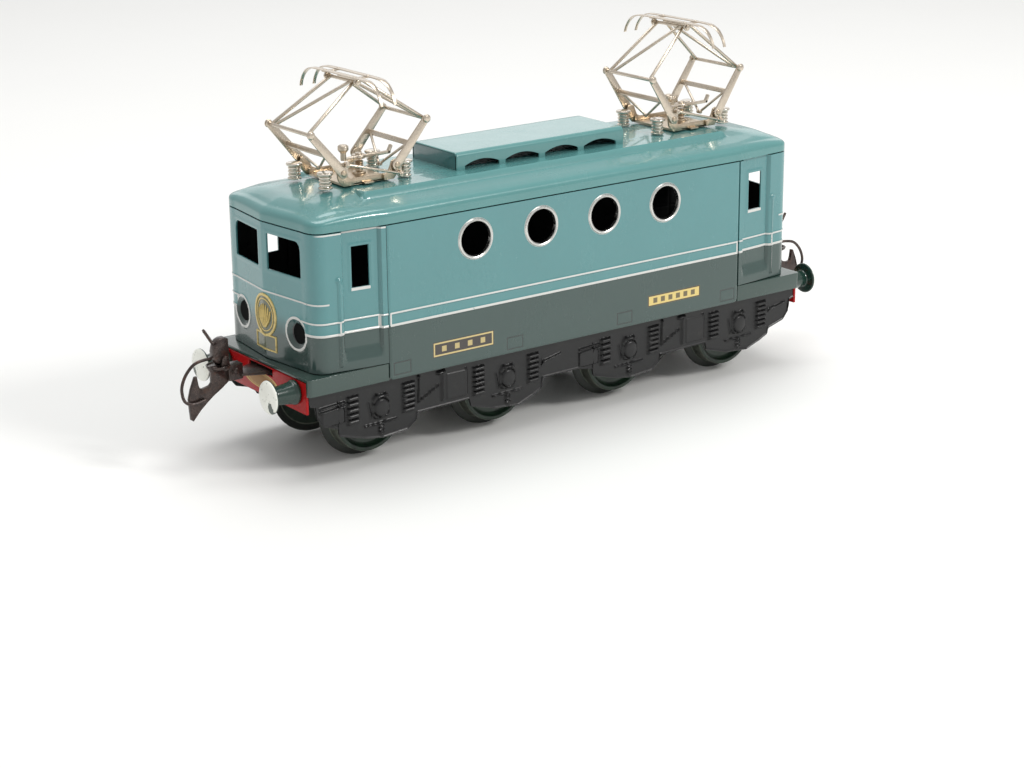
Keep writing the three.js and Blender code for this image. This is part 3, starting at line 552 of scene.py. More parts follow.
def softened(node, name, mat, width=0.2, segments=2):
    """A copy of a CAD node with its facets joined and its edges rounded."""
    cad = frame["nodes"][node]
    mesh = cad.data.copy()
    mesh.materials.clear()
    bm = bmesh.new()
    bm.from_mesh(mesh)
    bmesh.ops.remove_doubles(bm, verts=bm.verts, dist=2e-6)
    bmesh.ops.dissolve_limit(bm, angle_limit=math.radians(2.0), verts=bm.verts, edges=bm.edges)
    bm.to_mesh(mesh)
    bm.free()
    obj = finish_mesh(name, mesh, cad["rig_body"], mat, node)
    mod = obj.modifiers.new("edge", "BEVEL")
    mod.width = width * MM
    mod.segments = segments
    mod.limit_method = "ANGLE"
    mod.angle_limit = math.radians(30.0)
    mod.harden_normals = False
    apply_mods(obj)
    shade(obj.data, 40.0)


def loft(rings, closed=True, caps=True):
    """Skins rings of equally many points; returns verts and faces."""
    verts = [p for ring in rings for p in ring]
    n = len(rings[0])
    faces = []
    for i in range(len(rings) - 1):
        for j in range(n if closed else n - 1):
            a, b = i * n + j, i * n + (j + 1) % n
            faces.append((a, b, b + n, a + n))
    if caps:
        faces.append(tuple(reversed(range(n))))
        faces.append(tuple(range((len(rings) - 1) * n, len(rings) * n)))
    return verts, faces


def join_parts(parts):
    verts, faces = [], []
    for v, f in parts:
        k = len(verts)
        verts += v
        faces += [tuple(i + k for i in face) for face in f]
    return verts, faces


def frame_for(direction):
    """The direction as a unit vector and two more at right angles to it."""
    d = Vector(direction).normalized()
    side = d.cross(Vector((0, 1, 0)) if abs(d.y) < 0.9 else Vector((1, 0, 0))).normalized()
    return d, side, d.cross(side)


def circle(centre, s, t, r, n):
    """Circle of n points in the plane of s and t."""
    angles = [k * math.tau / n for k in range(n)]
    return [tuple(centre + (s * math.cos(a) + t * math.sin(a)) * r) for a in angles]


def quadratic(a, c, b, u):
    """Point at u on the curve from a to b that leans to c."""
    return a * (1 - u) ** 2 + c * 2 * u * (1 - u) + b * u * u


def smooth_path(points, steps):
    """Curve through the points, with steps stretches between each two."""
    pts = [Vector(p) for p in points]
    path = []
    for i in range(len(pts) - 1):
        p0, p1, p2, p3 = pts[max(i - 1, 0)], pts[i], pts[i + 1], pts[min(i + 2, len(pts) - 1)]
        for k in range(steps):
            u = k / steps
            path.append(0.5 * ((2 * p1) + (p2 - p0) * u + (2 * p0 - 5 * p1 + 4 * p2 - p3) * u * u
                               + (3 * p1 - p0 - 3 * p2 + p3) * u ** 3))
    path.append(pts[-1])
    return path


def rod(a, b, r, n=14):
    """Round rod with eased ends."""
    a, b = Vector(a), Vector(b)
    d, s, t = frame_for(b - a)
    length = (b - a).length
    e = min(0.3 * r, length / 4)
    stations = [(0, r - e), (e * 0.3, r - e * 0.3), (e, r), (length - e, r), (length - e * 0.3, r - e * 0.3),
                (length, r - e)]
    return loft([circle(a + d * h, s, t, q, n) for h, q in stations])


def tube(points, r, n=12, steps=8, radii=None):
    """Smooth round wire through points; radii(u) scales its thickness along the way."""
    path = smooth_path(points, steps)
    last = len(path) - 1
    tangent = (path[1] - path[0]).normalized()
    _, s, t = frame_for(tangent)
    rings = []
    for i, p in enumerate(path):
        following = (path[min(i + 1, last)] - path[max(i - 1, 0)]).normalized()
        turn = tangent.rotation_difference(following)
        s, t, tangent = turn @ s, turn @ t, following
        end = 0.72 if i in (0, last) else 1.0
        rings.append(circle(p, s, t, r * end * (1 if radii is None else radii(i / last)), n))
    return loft(rings)


def turned(profile, base, direction, n=48):
    """Turned piece from (radius, height) pairs."""
    d, s, t = frame_for(direction)
    base = Vector(base)
    return loft([circle(base + d * h, s, t, max(r, 1e-3), n) for r, h in profile])


def ease(profile, e=0.18, n=3):
    """Rounds the corners of an open profile."""
    out = [profile[0]]
    for before, corner, after in zip(profile, profile[1:], profile[2:]):
        p, a, b = Vector(corner), Vector(before), Vector(after)
        la, lb = (a - p).length, (b - p).length
        if la < 1e-6 or lb < 1e-6:
            continue
        pa, pb = p + (a - p) / la * min(e, la / 2.2), p + (b - p) / lb * min(e, lb / 2.2)
        for k in range(n + 1):
            q = quadratic(pa, p, pb, k / n)
            out.append((q.x, q.y))
    out.append(profile[-1])
    return out


def eased_turn(profile, at, direction, n, e):
    """Turned piece with rounded corners; its profile starts on the axis at height 0."""
    return turned(ease([(0, 0)] + profile, e), at, direction, n)


def plate_y(outline, y0, y1, e=0.12):
    """Plate in the (x, z) plane with eased edges."""
    y0, y1 = sorted((y0, y1))
    n = len(outline)
    following = outline[1:] + outline[:1]
    area = sum(a[0] * b[1] - b[0] * a[1] for a, b in zip(outline, following))
    sign = 1 if area > 0 else -1

    def inset(d):
        out = []
        for i in range(n):
            a, p, b = Vector(outline[i - 1]), Vector(outline[i]), Vector(outline[(i + 1) % n])
            ta, tb = (p - a).normalized(), (b - p).normalized()
            na, nb = Vector((-ta.y, ta.x)) * sign, Vector((-tb.y, tb.x)) * sign
            m = (na + nb)
            m = m.normalized() if m.length > 1e-6 else na
            out.append(p + m * d * (1 / max(0.45, m.dot(na))))
        return out

    stations = ((y0, e), (y0 + e * 0.3, e * 0.3), (y0 + e, 0), (y1 - e, 0), (y1 - e * 0.3, e * 0.3), (y1, e))
    return loft([[(p.x, y, p.y) for p in inset(d)] for y, d in stations])


def link_outline(a, b, r0, r1, n=10):
    """Outline of a flat link with round ends in (x, z)."""
    ang = math.atan2(b[1] - a[1], b[0] - a[0])
    out = []
    for (x, z), r, start in ((a, r0, ang + math.pi / 2), (b, r1, ang - math.pi / 2)):
        for k in range(n + 1):
            out.append((x + r * math.cos(start + math.pi * k / n), z + r * math.sin(start + math.pi * k / n)))
    return out


def block(x0, x1, y0, y1, z0, z1, e=0.15):
    """Box with eased edges; the ends of a side may be given in either order."""
    x0, x1 = sorted((x0, x1))
    return plate_y([(x0, z0), (x1, z0), (x1, z1), (x0, z1)], y0, y1, e)


def smoothstep(a, b, v):
    """0 at a and 1 at b, smooth between; a may be above b."""
    t = min(1.0, max(0.0, (v - a) / (b - a)))
    return t * t * (3 - 2 * t)


def cut_with(obj, cutters):
    """Boolean difference with cutter meshes given as (verts, faces) in millimetres."""
    mesh = raw_mesh("cutter", *join_parts(cutters))
    bm = bmesh.new()
    bm.from_mesh(mesh)
    bmesh.ops.recalc_face_normals(bm, faces=bm.faces)
    bm.to_mesh(mesh)
    bm.free()
    tool = bpy.data.objects.new("cutter", mesh)
    bpy.context.scene.collection.objects.link(tool)
    mod = obj.modifiers.new("cut", "BOOLEAN")
    mod.operation = "DIFFERENCE"
    mod.solver = "EXACT"
    mod.object = tool
    apply_mods(obj)
    bpy.data.objects.remove(tool)
    bpy.data.meshes.remove(mesh)


# ------------------------------------------------------------------ cabs
def front_x(y):
    return NOSE_X - 0.11 * abs(y)


def side_y(x):
    return BODY_HALF_Y - (x - SEAM_X) * (BODY_HALF_Y - CORNER_Y) / (CORNER_X - SEAM_X)


def corner_curve(count):
    """Points of the rounded corner of the plan, after the end of the nose."""
    a, c, b = Vector((front_x(19.5), 19.5)), Vector((95.9, 26.0)), Vector((CORNER_X, CORNER_Y))
    points = [quadratic(a, c, b, k / count) for k in range(1, count + 1)]
    return [(p.x, p.y) for p in points]


def cab_path():
    """Half of the cab plan, from the middle of the nose round to the seam, as (x, y) with x to the front."""
    pts = [(front_x(0.62 * i), 0.62 * i) for i in range(0, 32)] + corner_curve(20)
    x = CORNER_X
    while x > SEAM_X + 0.15:
        x = max(SEAM_X + 0.15, x - 0.45)
        pts.append((x, side_y(x)))
    return pts


def bead(v, half, height):
    """Cross profile of a pressed bead."""
    v = abs(v) / half
    return height * (1 - v * v) ** 2 if v < 1 else 0.0


def cab_side_relief(x, z):
    """Height over the plain sheet on the side of the cab: door recess, handrail post, window rim, lines."""
    in_door = smoothstep(-0.35, 0.45, min(x - DOOR_BACK, DOOR_FRONT - x))
    h = -1.15 * in_door * smoothstep(-0.2, 5.6, z - DOOR_FOOT)
    if 34.0 < z < 61.2:
        h += bead(x - POST_X, 0.75, 0.55) * smoothstep(61.0, 60.3, z)
    knob_sq = (x - POST_X) ** 2 + (z - 61.0) ** 2
    if knob_sq < 0.9 ** 2:
        h = max(h, 0.75 * math.sqrt(max(0, 1 - knob_sq / 0.81)))
    frame_d = max(abs(x - 79.4) - 3.0, abs(z - 64.3) - 6.4)
    h += bead(frame_d - 0.55, 0.6, 0.22)
    h += bead(z - LINE_LOW, 0.6, 0.28) + bead(z - LINE_HIGH, 0.5, 0.24)
    if x > 90.6:
        h += bead(z - LINE_THIN, 0.45, 0.2)
    return h


def cab_front_relief(y, z):
    """Height over the plain sheet on the nose: lamp rings and dishes, lines, window rims."""
    h = 0.0
    r = math.hypot(y - LAMP_Y, z - LAMP_Z)
    open_side = y > LAMP_Y + 3.8 and LINE_LOW + 0.2 < z < LINE_HIGH - 0.3
    if not open_side:
        h += bead(r - RING_R, 0.6, 0.34)
    h -= 1.1 * smoothstep(4.3, 2.6, r)
    if y > LAMP_Y and r > 4.9:
        h += bead(z - LINE_LOW, 0.6, 0.28) + bead(z - LINE_HIGH, 0.5, 0.24)
    h += bead(z - LINE_THIN, 0.45, 0.2)
    win = max(abs(y - 10.85) - 8.25, abs(z - 67.0) - 5.6)
    return h + bead(win - 0.6, 0.7, 0.12)


def cab_skin():
    """Skin of the front cab as lofted rings; the rear cab is the same one turned round."""
    half = cab_path()
    pts = [(x, -y) for x, y in reversed(half[1:])] + half
    last = len(pts) - 1
    normals = []
    for i, (x, y) in enumerate(pts):
        a, b = pts[max(i - 1, 0)], pts[min(i + 1, last)]
        t = Vector((b[0] - a[0], b[1] - a[1])).normalized()
        normal = Vector((t.y, -t.x))
        normals.append(-normal if normal.dot(Vector((x - 80, y))) < 0 else normal)
    heights = []
    z = BODY_Z0
    while z < SEAM_Z - 1e-6:
        heights.append(z)
        z += 0.42
    rings = []
    for z in heights + [SEAM_Z]:
        ring = []
        for (x, y), normal in zip(pts, normals):
            on_side = abs(y) > 24.0 and x < 94.5
            h = cab_side_relief(x, z) if on_side else cab_front_relief(abs(y), z)
            ring.append((-(x + normal.x * h), y + normal.y * h, z))
        rings.append(ring)
    return loft(rings, closed=False, caps=False)


def make_cab(end):
    s = END_SIGN[end]
    obj = mesh_of(f"cab_{end}_shell", *cab_skin(), "body", "turquoise_enamel", [MATS["cab"], MATS["inside"]],
                  f"cab_{end}", turn=end == "rear")

    def outward(face):
        c = face.calc_center_median()
        return face.normal.dot(Vector((c.x, c.y, 0)) - Vector((s * 0.08, 0, 0)))

    make_sheet(obj, 0.55, outward)
    window = [(2.6, 61.7), (2.9, 61.4), (18.8, 61.4), (19.1, 61.7), (19.1, 70.0), (18.7, 71.5), (17.7, 72.4),
              (16.9, 72.6), (2.9, 72.6), (2.6, 72.3)]
    cutters = []
    for side in (-1, 1):
        cutters.append(block(s * 82.4, s * 76.4, side * 20, side * 32, 57.9, 70.7, 0.0001))
        cutters.append(loft([[(x, side * y, z) for y, z in window] for x in sorted((s * 90, s * 101))]))
        cutters.append(rod((s * 90, side * LAMP_Y, LAMP_Z), (s * 101, side * LAMP_Y, LAMP_Z), 2.9, 40))
    cut_with(obj, cutters)
    shade(obj.data, 40)
    # lamp tubes in near-black, painted shade for the dark inside of the lamp holes
    cup = [(3.2, 0.4), (3.2, -3.2), (0, -3.2), (0, -3.0), (2.95, -3.0)]
    for side in (-1, 1):
        v, f = turned(cup, (s * 94.9, side * LAMP_Y, LAMP_Z), (s, 0, 0), 32)
        mesh_of(f"lamp_{end}_{SIDE_NAME[side]}", v, f, "body", "dark_green_enamel", MATS["hole"])


# ------------------------------------------------------------------ badge on the cab front
def make_badge(end):
    """Plain oval badge with leaf sprays and an empty plate under it."""
    s = END_SIGN[end]

    def on_front(y, z, h):
        return (s * (front_x(y) + 0.03 + h), y, z)

    def oval(ry, rz, h, n):
        angles = [k * math.tau / n for k in range(n)]
        return [on_front(ry * math.cos(a), BADGE_Z + rz * math.sin(a), h) for a in angles]

    def ring_band(ry, rz, w, h):
        stations = ((-w, 0.0), (-w * 0.8, h), (w * 0.8, h), (w, 0.0))
        return loft([oval(ry + q, rz + q, hh, 72) for q, hh in stations], caps=False)

    def frame_band(half, z0, z1, w, h):
        rings = []
        for q, hh in ((0, 0.0), (0.08, h), (w - 0.08, h), (w, 0.0)):
            corners = [(-half + q, z0 + q), (half - q, z0 + q), (half - q, z1 - q), (-half + q, z1 - q)]
            ring = []
            for a, b in zip(corners, corners[1:] + corners[:1]):
                for k in range(12):
                    u = k / 12
                    ring.append(on_front(a[0] + (b[0] - a[0]) * u, a[1] + (b[1] - a[1]) * u, hh))
            rings.append(ring)
        return loft(rings, caps=False)

    parts = [ring_band(BADGE_RY, BADGE_RZ, 0.45, 0.3), ring_band(4.6, 5.1, 0.2, 0.22)]
    parts.append(frame_band(TAG_HALF, TAG_Z0, TAG_Z1, 0.55, 0.28))
    for i in range(7):
        y = -3.3 + 1.1 * i
        tip = on_front(y, 46.6 + 3.3 * math.cos(y / 3.0), 0.12)
        leaf = [on_front(0.2 * y, 42.4, 0.12), on_front(0.75 * y, 45.0, 0.2), tip]
        parts.append(tube(leaf, 0.34, 8, 6, radii=lambda u: 0.55 + math.sin(math.pi * u) * 0.6))
    v, f = join_parts(parts)
    mesh_of(f"badge_{end}_rings", v, f, "body", "nickel_plate", MATS["badge"])
    steps = (1.0, 0.96, 0.66, 0.33, 0.02)
    rings = [oval(5.7 * q, 6.3 * q, 0.06 if q < 1 else 0.0, 48) for q in steps]
    rows = [[on_front(-5.8 + 11.6 * i / 12, z, 0.05) for i in range(13)] for z in (35.3, 37.8, 40.3)]
    v, f = join_parts([loft(rings, caps=False), loft(rows, closed=False, caps=False)])
    mesh_of(f"badge_{end}_field", v, f, "body", "dark_green_enamel", MATS["badge_field"])


# ------------------------------------------------------------------ side covers
def make_seam_strips():
    """Dark strips behind the joints between the cabs and the side covers: painted shade that keeps the gaps
    dark.
    """
    for end, s in END_SIGN.items():
        parts = [block(s * 69.3, s * 72.4, side * 27.3, side * 27.8, 33.2, 73.9, 0.1) for side in (-1, 1)]
        v, f = join_parts(parts)
        mesh_of(f"seam_strips_{end}", v, f, "body", "turquoise_enamel", MATS["inside"])


def cover_relief(x, z, z0, half, side):
    """Height of the side sheet: lines, embossed rectangles, turned-in rim and a slight belly."""
    h = 0.0
    if abs(x) < 70.5:
        h += bead(z - LINE_LOW, 0.6, 0.26) + bead(z - LINE_HIGH, 0.5, 0.22)
    if LINE_LOW < z < LINE_HIGH:
        h = max(h, bead(abs(x) - 70.2, 0.5, 0.22))
    for cx in DOOR_X:
        h -= bead(max(abs(-x * side - cx) - MARK_HALF_X, abs(z - MARK_Z) - MARK_HALF_Z), 0.5, 0.12)
    h -= 0.28 * smoothstep(0.55, 0.0, min(half - abs(x), z - z0))
    return h + 0.05 * math.cos(x / half * math.pi / 2) * math.cos((z - 52) / 25 * math.pi / 2)


def make_side_cover(side):
    """Pressed side sheet with four ringed ports; side is -1 on the left."""
    half = SEAM_X - 0.15
    count = round(2 * half / 0.5)
    z0, z1 = 27.0, SEAM_Z
    rows = round((z1 - z0) / 0.42)
    corner_r = 1.3
    rings = []
    for j in range(rows + 1):
        z = z0 + (z1 - z0) * j / rows
        ring = []
        for i in range(count + 1):
            x = -half + 2 * half * i / count
            y = side * (BODY_HALF_Y + cover_relief(x, z, z0, half, side))
            # the two lower corners are rounded
            ux, uz = max(0, corner_r - (half - abs(x))), max(0, corner_r - (z - z0))
            reach = math.hypot(ux, uz)
            if ux > 0 and uz > 0 and reach > corner_r:
                k = corner_r / reach
                ring.append((math.copysign(half - corner_r + ux * k, x), y, z0 + corner_r - uz * k))
            else:
                ring.append((x, y, z))
        rings.append(ring)
    name = SIDE_NAME[side]
    v, f = loft(rings, closed=False, caps=False)
    node = f"side_cover_{name}"
    obj = mesh_of(f"{node}_sheet", v, f, "body", "turquoise_enamel", [MATS["cover"], MATS["inside"]], node)
    make_sheet(obj, 0.5, lambda face: face.normal.y * side)
    cut_with(obj, [rod((x, side * 24, PORT_Z), (x, side * 32, PORT_Z), 5.75, 64) for x in PORT_X])
    shade(obj.data, 35)
    # rolled rims round the ports
    rim = [(5.45, -0.9), (5.45, -0.1), (5.62, 0.3), (5.95, 0.47), (6.3, 0.4), (6.58, 0.1), (6.62, -0.1),
           (5.75, -0.2), (5.75, -0.9), (5.45, -0.9)]
    angles = [k * math.tau / 72 for k in range(72)]
    parts = []
    for x in PORT_X:
        rings = [[(x + r * math.cos(a), side * (BODY_HALF_Y + h), PORT_Z + r * math.sin(a)) for a in angles]
                 for r, h in rim]
        parts.append(loft(rings, caps=False))
    v, f = join_parts(parts)
    mesh_of(f"port_rims_{name}", v, f, "body", "nickel_plate", MATS["rim"])


# ------------------------------------------------------------------ roof
def smin(a, b, k=0.6):
    h = max(0.0, k - abs(a - b)) / k
    return min(a, b) - h * h * k * 0.25


def interp(table, v):
    for (a, fa), (b, fb) in zip(table, table[1:]):
        if v <= b:
            return fa + (fb - fa) * max(0.0, (v - a) / (b - a))
    return table[-1][1]


# height of the roof over the distance from the middle, across and along
ROOF_ACROSS = [(0, 84.6), (9.5, 84.3), (15.0, 83.5), (19.5, 82.4), (26.0, 81.0), (27.3, 80.5), (28.8, 79.4)]
ROOF_ALONG = [(0, 90.0), (72.0, 84.9), (80.0, 84.3), (88.0, 82.9), (94.8, 81.3), (96.4, 80.7), (98.3, 79.2)]
ROOF_EDGE_Z, ROOF_EDGE_R = 78.2, 2.9


def roof_height(x, y, d):
    """Height of the roof skin; d is the distance in from the outline."""
    ax, ay = abs(x), abs(y)
    top = smin(interp(ROOF_ACROSS, ay), interp(ROOF_ALONG, ax), 0.5 + 1.8 * smoothstep(70.0, 88.0, ax))
    # raised centre panel with a chamfered end
    if ay < 20.4 and ax < 75.2:
        side = 84.45 - 0.012 * (ay - 9) * abs(ay - 9) / 9 if ay > 9 else 84.5
        top = max(top, side - 2.6 * smoothstep(18.2, 20.2, ay) - 3.0 * smoothstep(71.8, 74.6, ax))
    # domed corners and rolled edge
    top -= 1.1 * smoothstep(84.0, 97.0, ax) * smoothstep(13.0, 26.0, ay)
    fall = 1 - min(d, ROOF_EDGE_R) / ROOF_EDGE_R
    edge = ROOF_EDGE_Z + ROOF_EDGE_R * math.sqrt(max(0.0, 1 - fall ** 2))
    return smin(top, edge + max(0.0, d - ROOF_EDGE_R) * 0.9, 0.5 + 2.4 * smoothstep(74.0, 92.0, ax))


def roof_outline():
    """Plan outline with points all round, matching the cab plan."""
    quarter = [(front_x(1.2 * i), 1.2 * i) for i in range(0, 17)] + corner_curve(24)
    x = CORNER_X
    while x > 72.0:
        x -= 0.96
        quarter.append((x, side_y(max(x, SEAM_X))))
    while x > 1.0:
        x -= 1.1
        quarter.append((x, BODY_HALF_Y))
    if quarter[-1][0] < 0.6:
        quarter.pop()
    full = quarter + [(0.0, BODY_HALF_Y)] + [(-x, y) for x, y in reversed(quarter)]
    full += [(-x, -y) for x, y in quarter[1:]] + [(0.0, -BODY_HALF_Y)]
    return full + [(x, -y) for x, y in reversed(quarter[1:])]


def inward_normals(pts):
    """Unit normals of the closed plan outline; subtracting them moves a point inward."""
    normals = []
    for i in range(len(pts)):
        a, b = pts[i - 1], pts[(i + 1) % len(pts)]
        t = Vector((b[0] - a[0], b[1] - a[1])).normalized()
        normals.append(Vector((t.y, -t.x)))
    return normals


def inset_ring(pts, normals, d, z):
    return [(x - nx * d, y - ny * d, z) for (x, y), (nx, ny) in zip(pts, normals)]


def make_roof_band():
    """Dark band behind the joint between the roof and the walls: painted shade that keeps the gap dark."""
    pts = roof_outline()
    normals = inward_normals(pts)
    section = ((1.85, 74.0), (1.85, 77.6), (2.15, 77.6), (2.15, 74.0), (1.85, 74.0))
    v, f = loft([inset_ring(pts, normals, d, z) for d, z in section], caps=False)
    mesh_of("roof_band", v, f, "body", "turquoise_enamel", MATS["inside"])


def make_roof():
    pts = roof_outline()
    normals = inward_normals(pts)
    # turned-in lip, then the upright edge, then the dome in rings that close in on the middle
    lip = ((0.55, 76.3), (0.45, 76.05), (0.2, 76.0), (0.0, 76.15))
    rings = [inset_ring(pts, normals, d, z) for d, z in lip]
    rings += [[(x, y, z) for x, y in pts] for z in (76.8, 77.5, 78.1)]
    for d in (0.08, 0.25, 0.5, 0.85, 1.25, 1.7, 2.2, 2.75, 3.4, 4.1):
        ring = inset_ring(pts, normals, d, 0.0)
        rings.append([(x, y, roof_height(x, y, d)) for x, y, _ in ring])
    last = [(x, y) for x, y, _ in rings[-1]]
    inner = 30
    for k in range(1, inner + 1):
        u = k / inner
        ring = []
        for x, y in last:
            px, py = x + (max(-70.0, min(70.0, x)) - x) * u, y * (1 - u * 0.999)
            ring.append((px, py, roof_height(px, py, 4.1 + 20 * u)))
        rings.append(ring)
    v, f = loft(rings, caps=False)
    mats = [MATS["roof"], MATS["inside"]]
    obj = mesh_of("roof_shell", v, f, "body", "turquoise_enamel", mats, "roof", smooth=30)
    make_sheet(obj, 0.5, lambda face: face.normal.z * face.calc_area())
    shade(obj.data, 30)


# ------------------------------------------------------------------ roof ventilator
def make_vent():
    """Ventilator: a folded cover with four arches a side, and end plates inside it."""
    r, half_y, top, foot = 1.4, 12.4, 90.0, 84.2
    section = [(-half_y, foot)]
    for k in range(9):
        a = math.pi - k * math.pi / 16
        section.append((-half_y + r + r * math.cos(a), top - r + r * math.sin(a)))
    section += [(-half_y + r + (2 * half_y - 2 * r) * i / 12, top) for i in range(1, 12)]
    for k in range(9):
        a = math.pi / 2 - k * math.pi / 16
        section.append((half_y - r + r * math.cos(a), top - r + r * math.sin(a)))
    section.append((half_y, foot))
    # the cover draws in a little at its two ends
    ends = {33.6: 0.3, 33.52: 0.12, 33.3: 0.0}
    xs = [-x for x in ends] + [-33.0 + 66.0 * i / 60 for i in range(61)] + list(reversed(ends))
    rings = []
    for x in xs:
        d = ends.get(abs(x), 0.0)
        ring = []
        for y, z in section:
            ring.append((x, y - math.copysign(d, y) if abs(y) > 1 else y, z - (d if z > 86 else 0)))
        rings.append(ring)
    obj = mesh_of("roof_vent_cover", *loft(rings, closed=False, caps=False), "body", "turquoise_enamel",
                  [MATS["roof"], MATS["inside"]], "roof_vent")
    make_sheet(obj, 0.55, lambda face: face.normal.z * face.calc_area())
    half, spring, rise = 6.7, 85.6, 1.55
    cutters = []
    for x in (-23.7, -7.9, 7.9, 23.7):
        arch = [(x - half, 80.0), (x + half, 80.0), (x + half, spring)]
        for k in range(1, 12):
            u = k / 12
            arch.append((x + half - 2 * half * u, spring + rise * (1 - (2 * u - 1) ** 2)))
        arch.append((x - half, spring))
        cutters.append(plate_y(arch, -14, 14, 0.001))
    cut_with(obj, cutters)
    shade(obj.data, 35)
    # end plates folded down inside the cover, with a near-black block at each corner as painted shade in the
    # slot
    plate = [(-half_y + 0.4, 84.0), (0, 84.4), (half_y - 0.4, 84.0)]
    plate += [(y * 0.965, z - 0.42) for y, z in reversed(section[1:-1])]
    for end, s in END_SIGN.items():
        stations = ((-0.5, 0.99), (0.3, 1.0), (0.38, 0.985))
        v, f = loft([[(s * (33.2 + dx), y * q, z) for y, z in plate] for dx, q in stations])
        # the end plates take the darker roof paint, painted shade
        mesh_of(f"roof_vent_end_{end}", v, f, "body", "turquoise_enamel", MATS["vent_end"])
        # near-black blocks at the corners: painted shade of the slots
        slots = [block(s * 33.0, s * 33.6, side * 11.62, side * 11.9, 84.7, 88.9, 0.05) for side in (-1, 1)]
        v, f = join_parts(slots)
        mesh_of(f"roof_vent_slots_{end}", v, f, "body", "turquoise_enamel", MATS["hole"])


# ------------------------------------------------------------------ side frames, pressed relief
BOGIE_PITCH = 98.5
SIDE_HALF, SIDE_TOP, SIDE_Y, RELIEF_MAX = 98.8, 31.2, 26.35, 1.62
BOGIE_EDGE = [(-88.9, 14.4), (-88.6, 11.9), (-78.9, 9.2), (-72.6, 8.3), (-63.7, 9.0), (-60.4, 11.5),
              (-60.0, 13.7), (-39.9, 14.1), (-39.6, 11.6), (-30.3, 9.0), (-20.8, 8.2), (-15.0, 10.3),
              (-11.5, 12.0)]
LOWER_EDGE = ([(-SIDE_HALF, 23.4), (-96.5, 22.8), (-96.45, 19.6), (-94.3, 16.3)] + BOGIE_EDGE
              + [(-11.1, 15.4), (3.5, 15.6)] + [(x + BOGIE_PITCH, z) for x, z in BOGIE_EDGE]
              + [(87.4, 13.9), (94.3, 15.9), (96.5, 18.6), (97.0, 22.6), (SIDE_HALF, 23.2)])
# coil stacks of one bogie: ends along the side, number of coils, top
COIL_FOOT = 14.9
COIL_STACKS = ((-86.0, -81.2, 5, 24.2), (-65.8, -60.6, 6, 24.6),
               (-39.0, -33.9, 6, 24.6), (-17.5, -12.4, 6, 24.6))


def rounded_box(px, pz, x0, x1, z0, z1, r=0.6):
    """Signed distance to a rounded rectangle."""
    cx, cz, hx, hz = (x0 + x1) / 2, (z0 + z1) / 2, (x1 - x0) / 2 - r, (z1 - z0) / 2 - r
    dx, dz = abs(px - cx) - hx, abs(pz - cz) - hz
    return math.hypot(max(dx, 0), max(dz, 0)) + min(max(dx, dz), 0) - r


def dome(d, height, soft):
    """Height of a boss whose edge is at distance 0."""
    return height * smoothstep(0.0, -soft, d)


def segment_d(px, pz, a, b):
    ax, az = a
    bx, bz = b
    dx, dz = bx - ax, bz - az
    t = max(0, min(1, ((px - ax) * dx + (pz - az) * dz) / (dx * dx + dz * dz)))
    return math.hypot(px - ax - dx * t, pz - az - dz * t)


def bar(u, z, a, b, half, height):
    """Height of a round bar pressed along the line from a to b."""
    return bead(segment_d(u, z, a, b), half, height)


def boss(u, z, x, y, half, height):
    """Height of a round knob."""
    return bead(math.hypot(u - x, z - y), half, height)


def coil_relief(u, z):
    """Stacks of rounded coils, one over the other."""
    h = 0.0
    for x0, x1, n, top in COIL_STACKS:
        if x0 - 1 < u < x1 + 1:
            pitch = (top - COIL_FOOT) / n
            ends = smoothstep(x0 - 0.1, x0 + 0.8, u) * smoothstep(x1 + 0.1, x1 - 0.8, u)
            for k in range(n):
                zc = top - pitch * (k + 0.5)
                v = abs(z - zc - 0.05 * (u - x0 - 2.5)) / (pitch * 0.47)
                h = max(h, 1.35 * math.sqrt(max(0.0, 1 - v * v)) * ends)
    return h


def axle_box_relief(u, z, c, h):
    """Rounded cushion with a round cap and bolts at c, and the tie bar, post and spring under it."""
    h = max(h, dome(rounded_box(u, z, c - 3.3, c + 3.3, 14.8, 22.8, 1.8), 1.0, 0.7))
    r = math.hypot(u - c, (z - 18.5) * 0.92)
    if r < 2.7:
        h = max(h, 1.0 + 0.6 * (1 - (r / 2.7) ** 2) ** 0.6)
    if 2.5 < r < 3.15 and h > 0.6:
        h = 1.0 + bead(r - 2.8, 0.35, -0.5)
    details = [boss(u, z, c + dx, 22.3, 0.95, 1.7) for dx in (-1.55, 1.55)]
    details.append(boss(u, z, c + 1.6, 15.9, 0.7, 1.4))
    details.append(bar(u, z, (c - 8.3, 13.2), (c + 8.3, 13.7), 0.55, 0.75))
    details.append(bar(u, z, (c, 13.4), (c, 9.6), 0.75, 0.5))
    details += [bar(u, z, (c - 0.9, kz), (c + 0.9, kz), 0.42, 0.8) for kz in (12.3, 11.3, 10.3)]
    details.append(boss(u, z, c + 8.0, 14.4, 0.8, 1.2))
    details.append(bar(u, z, (c - 3.6, 15.4), (c - 4.6, 20.5), 0.4, 0.4))
    return max(h, *details)


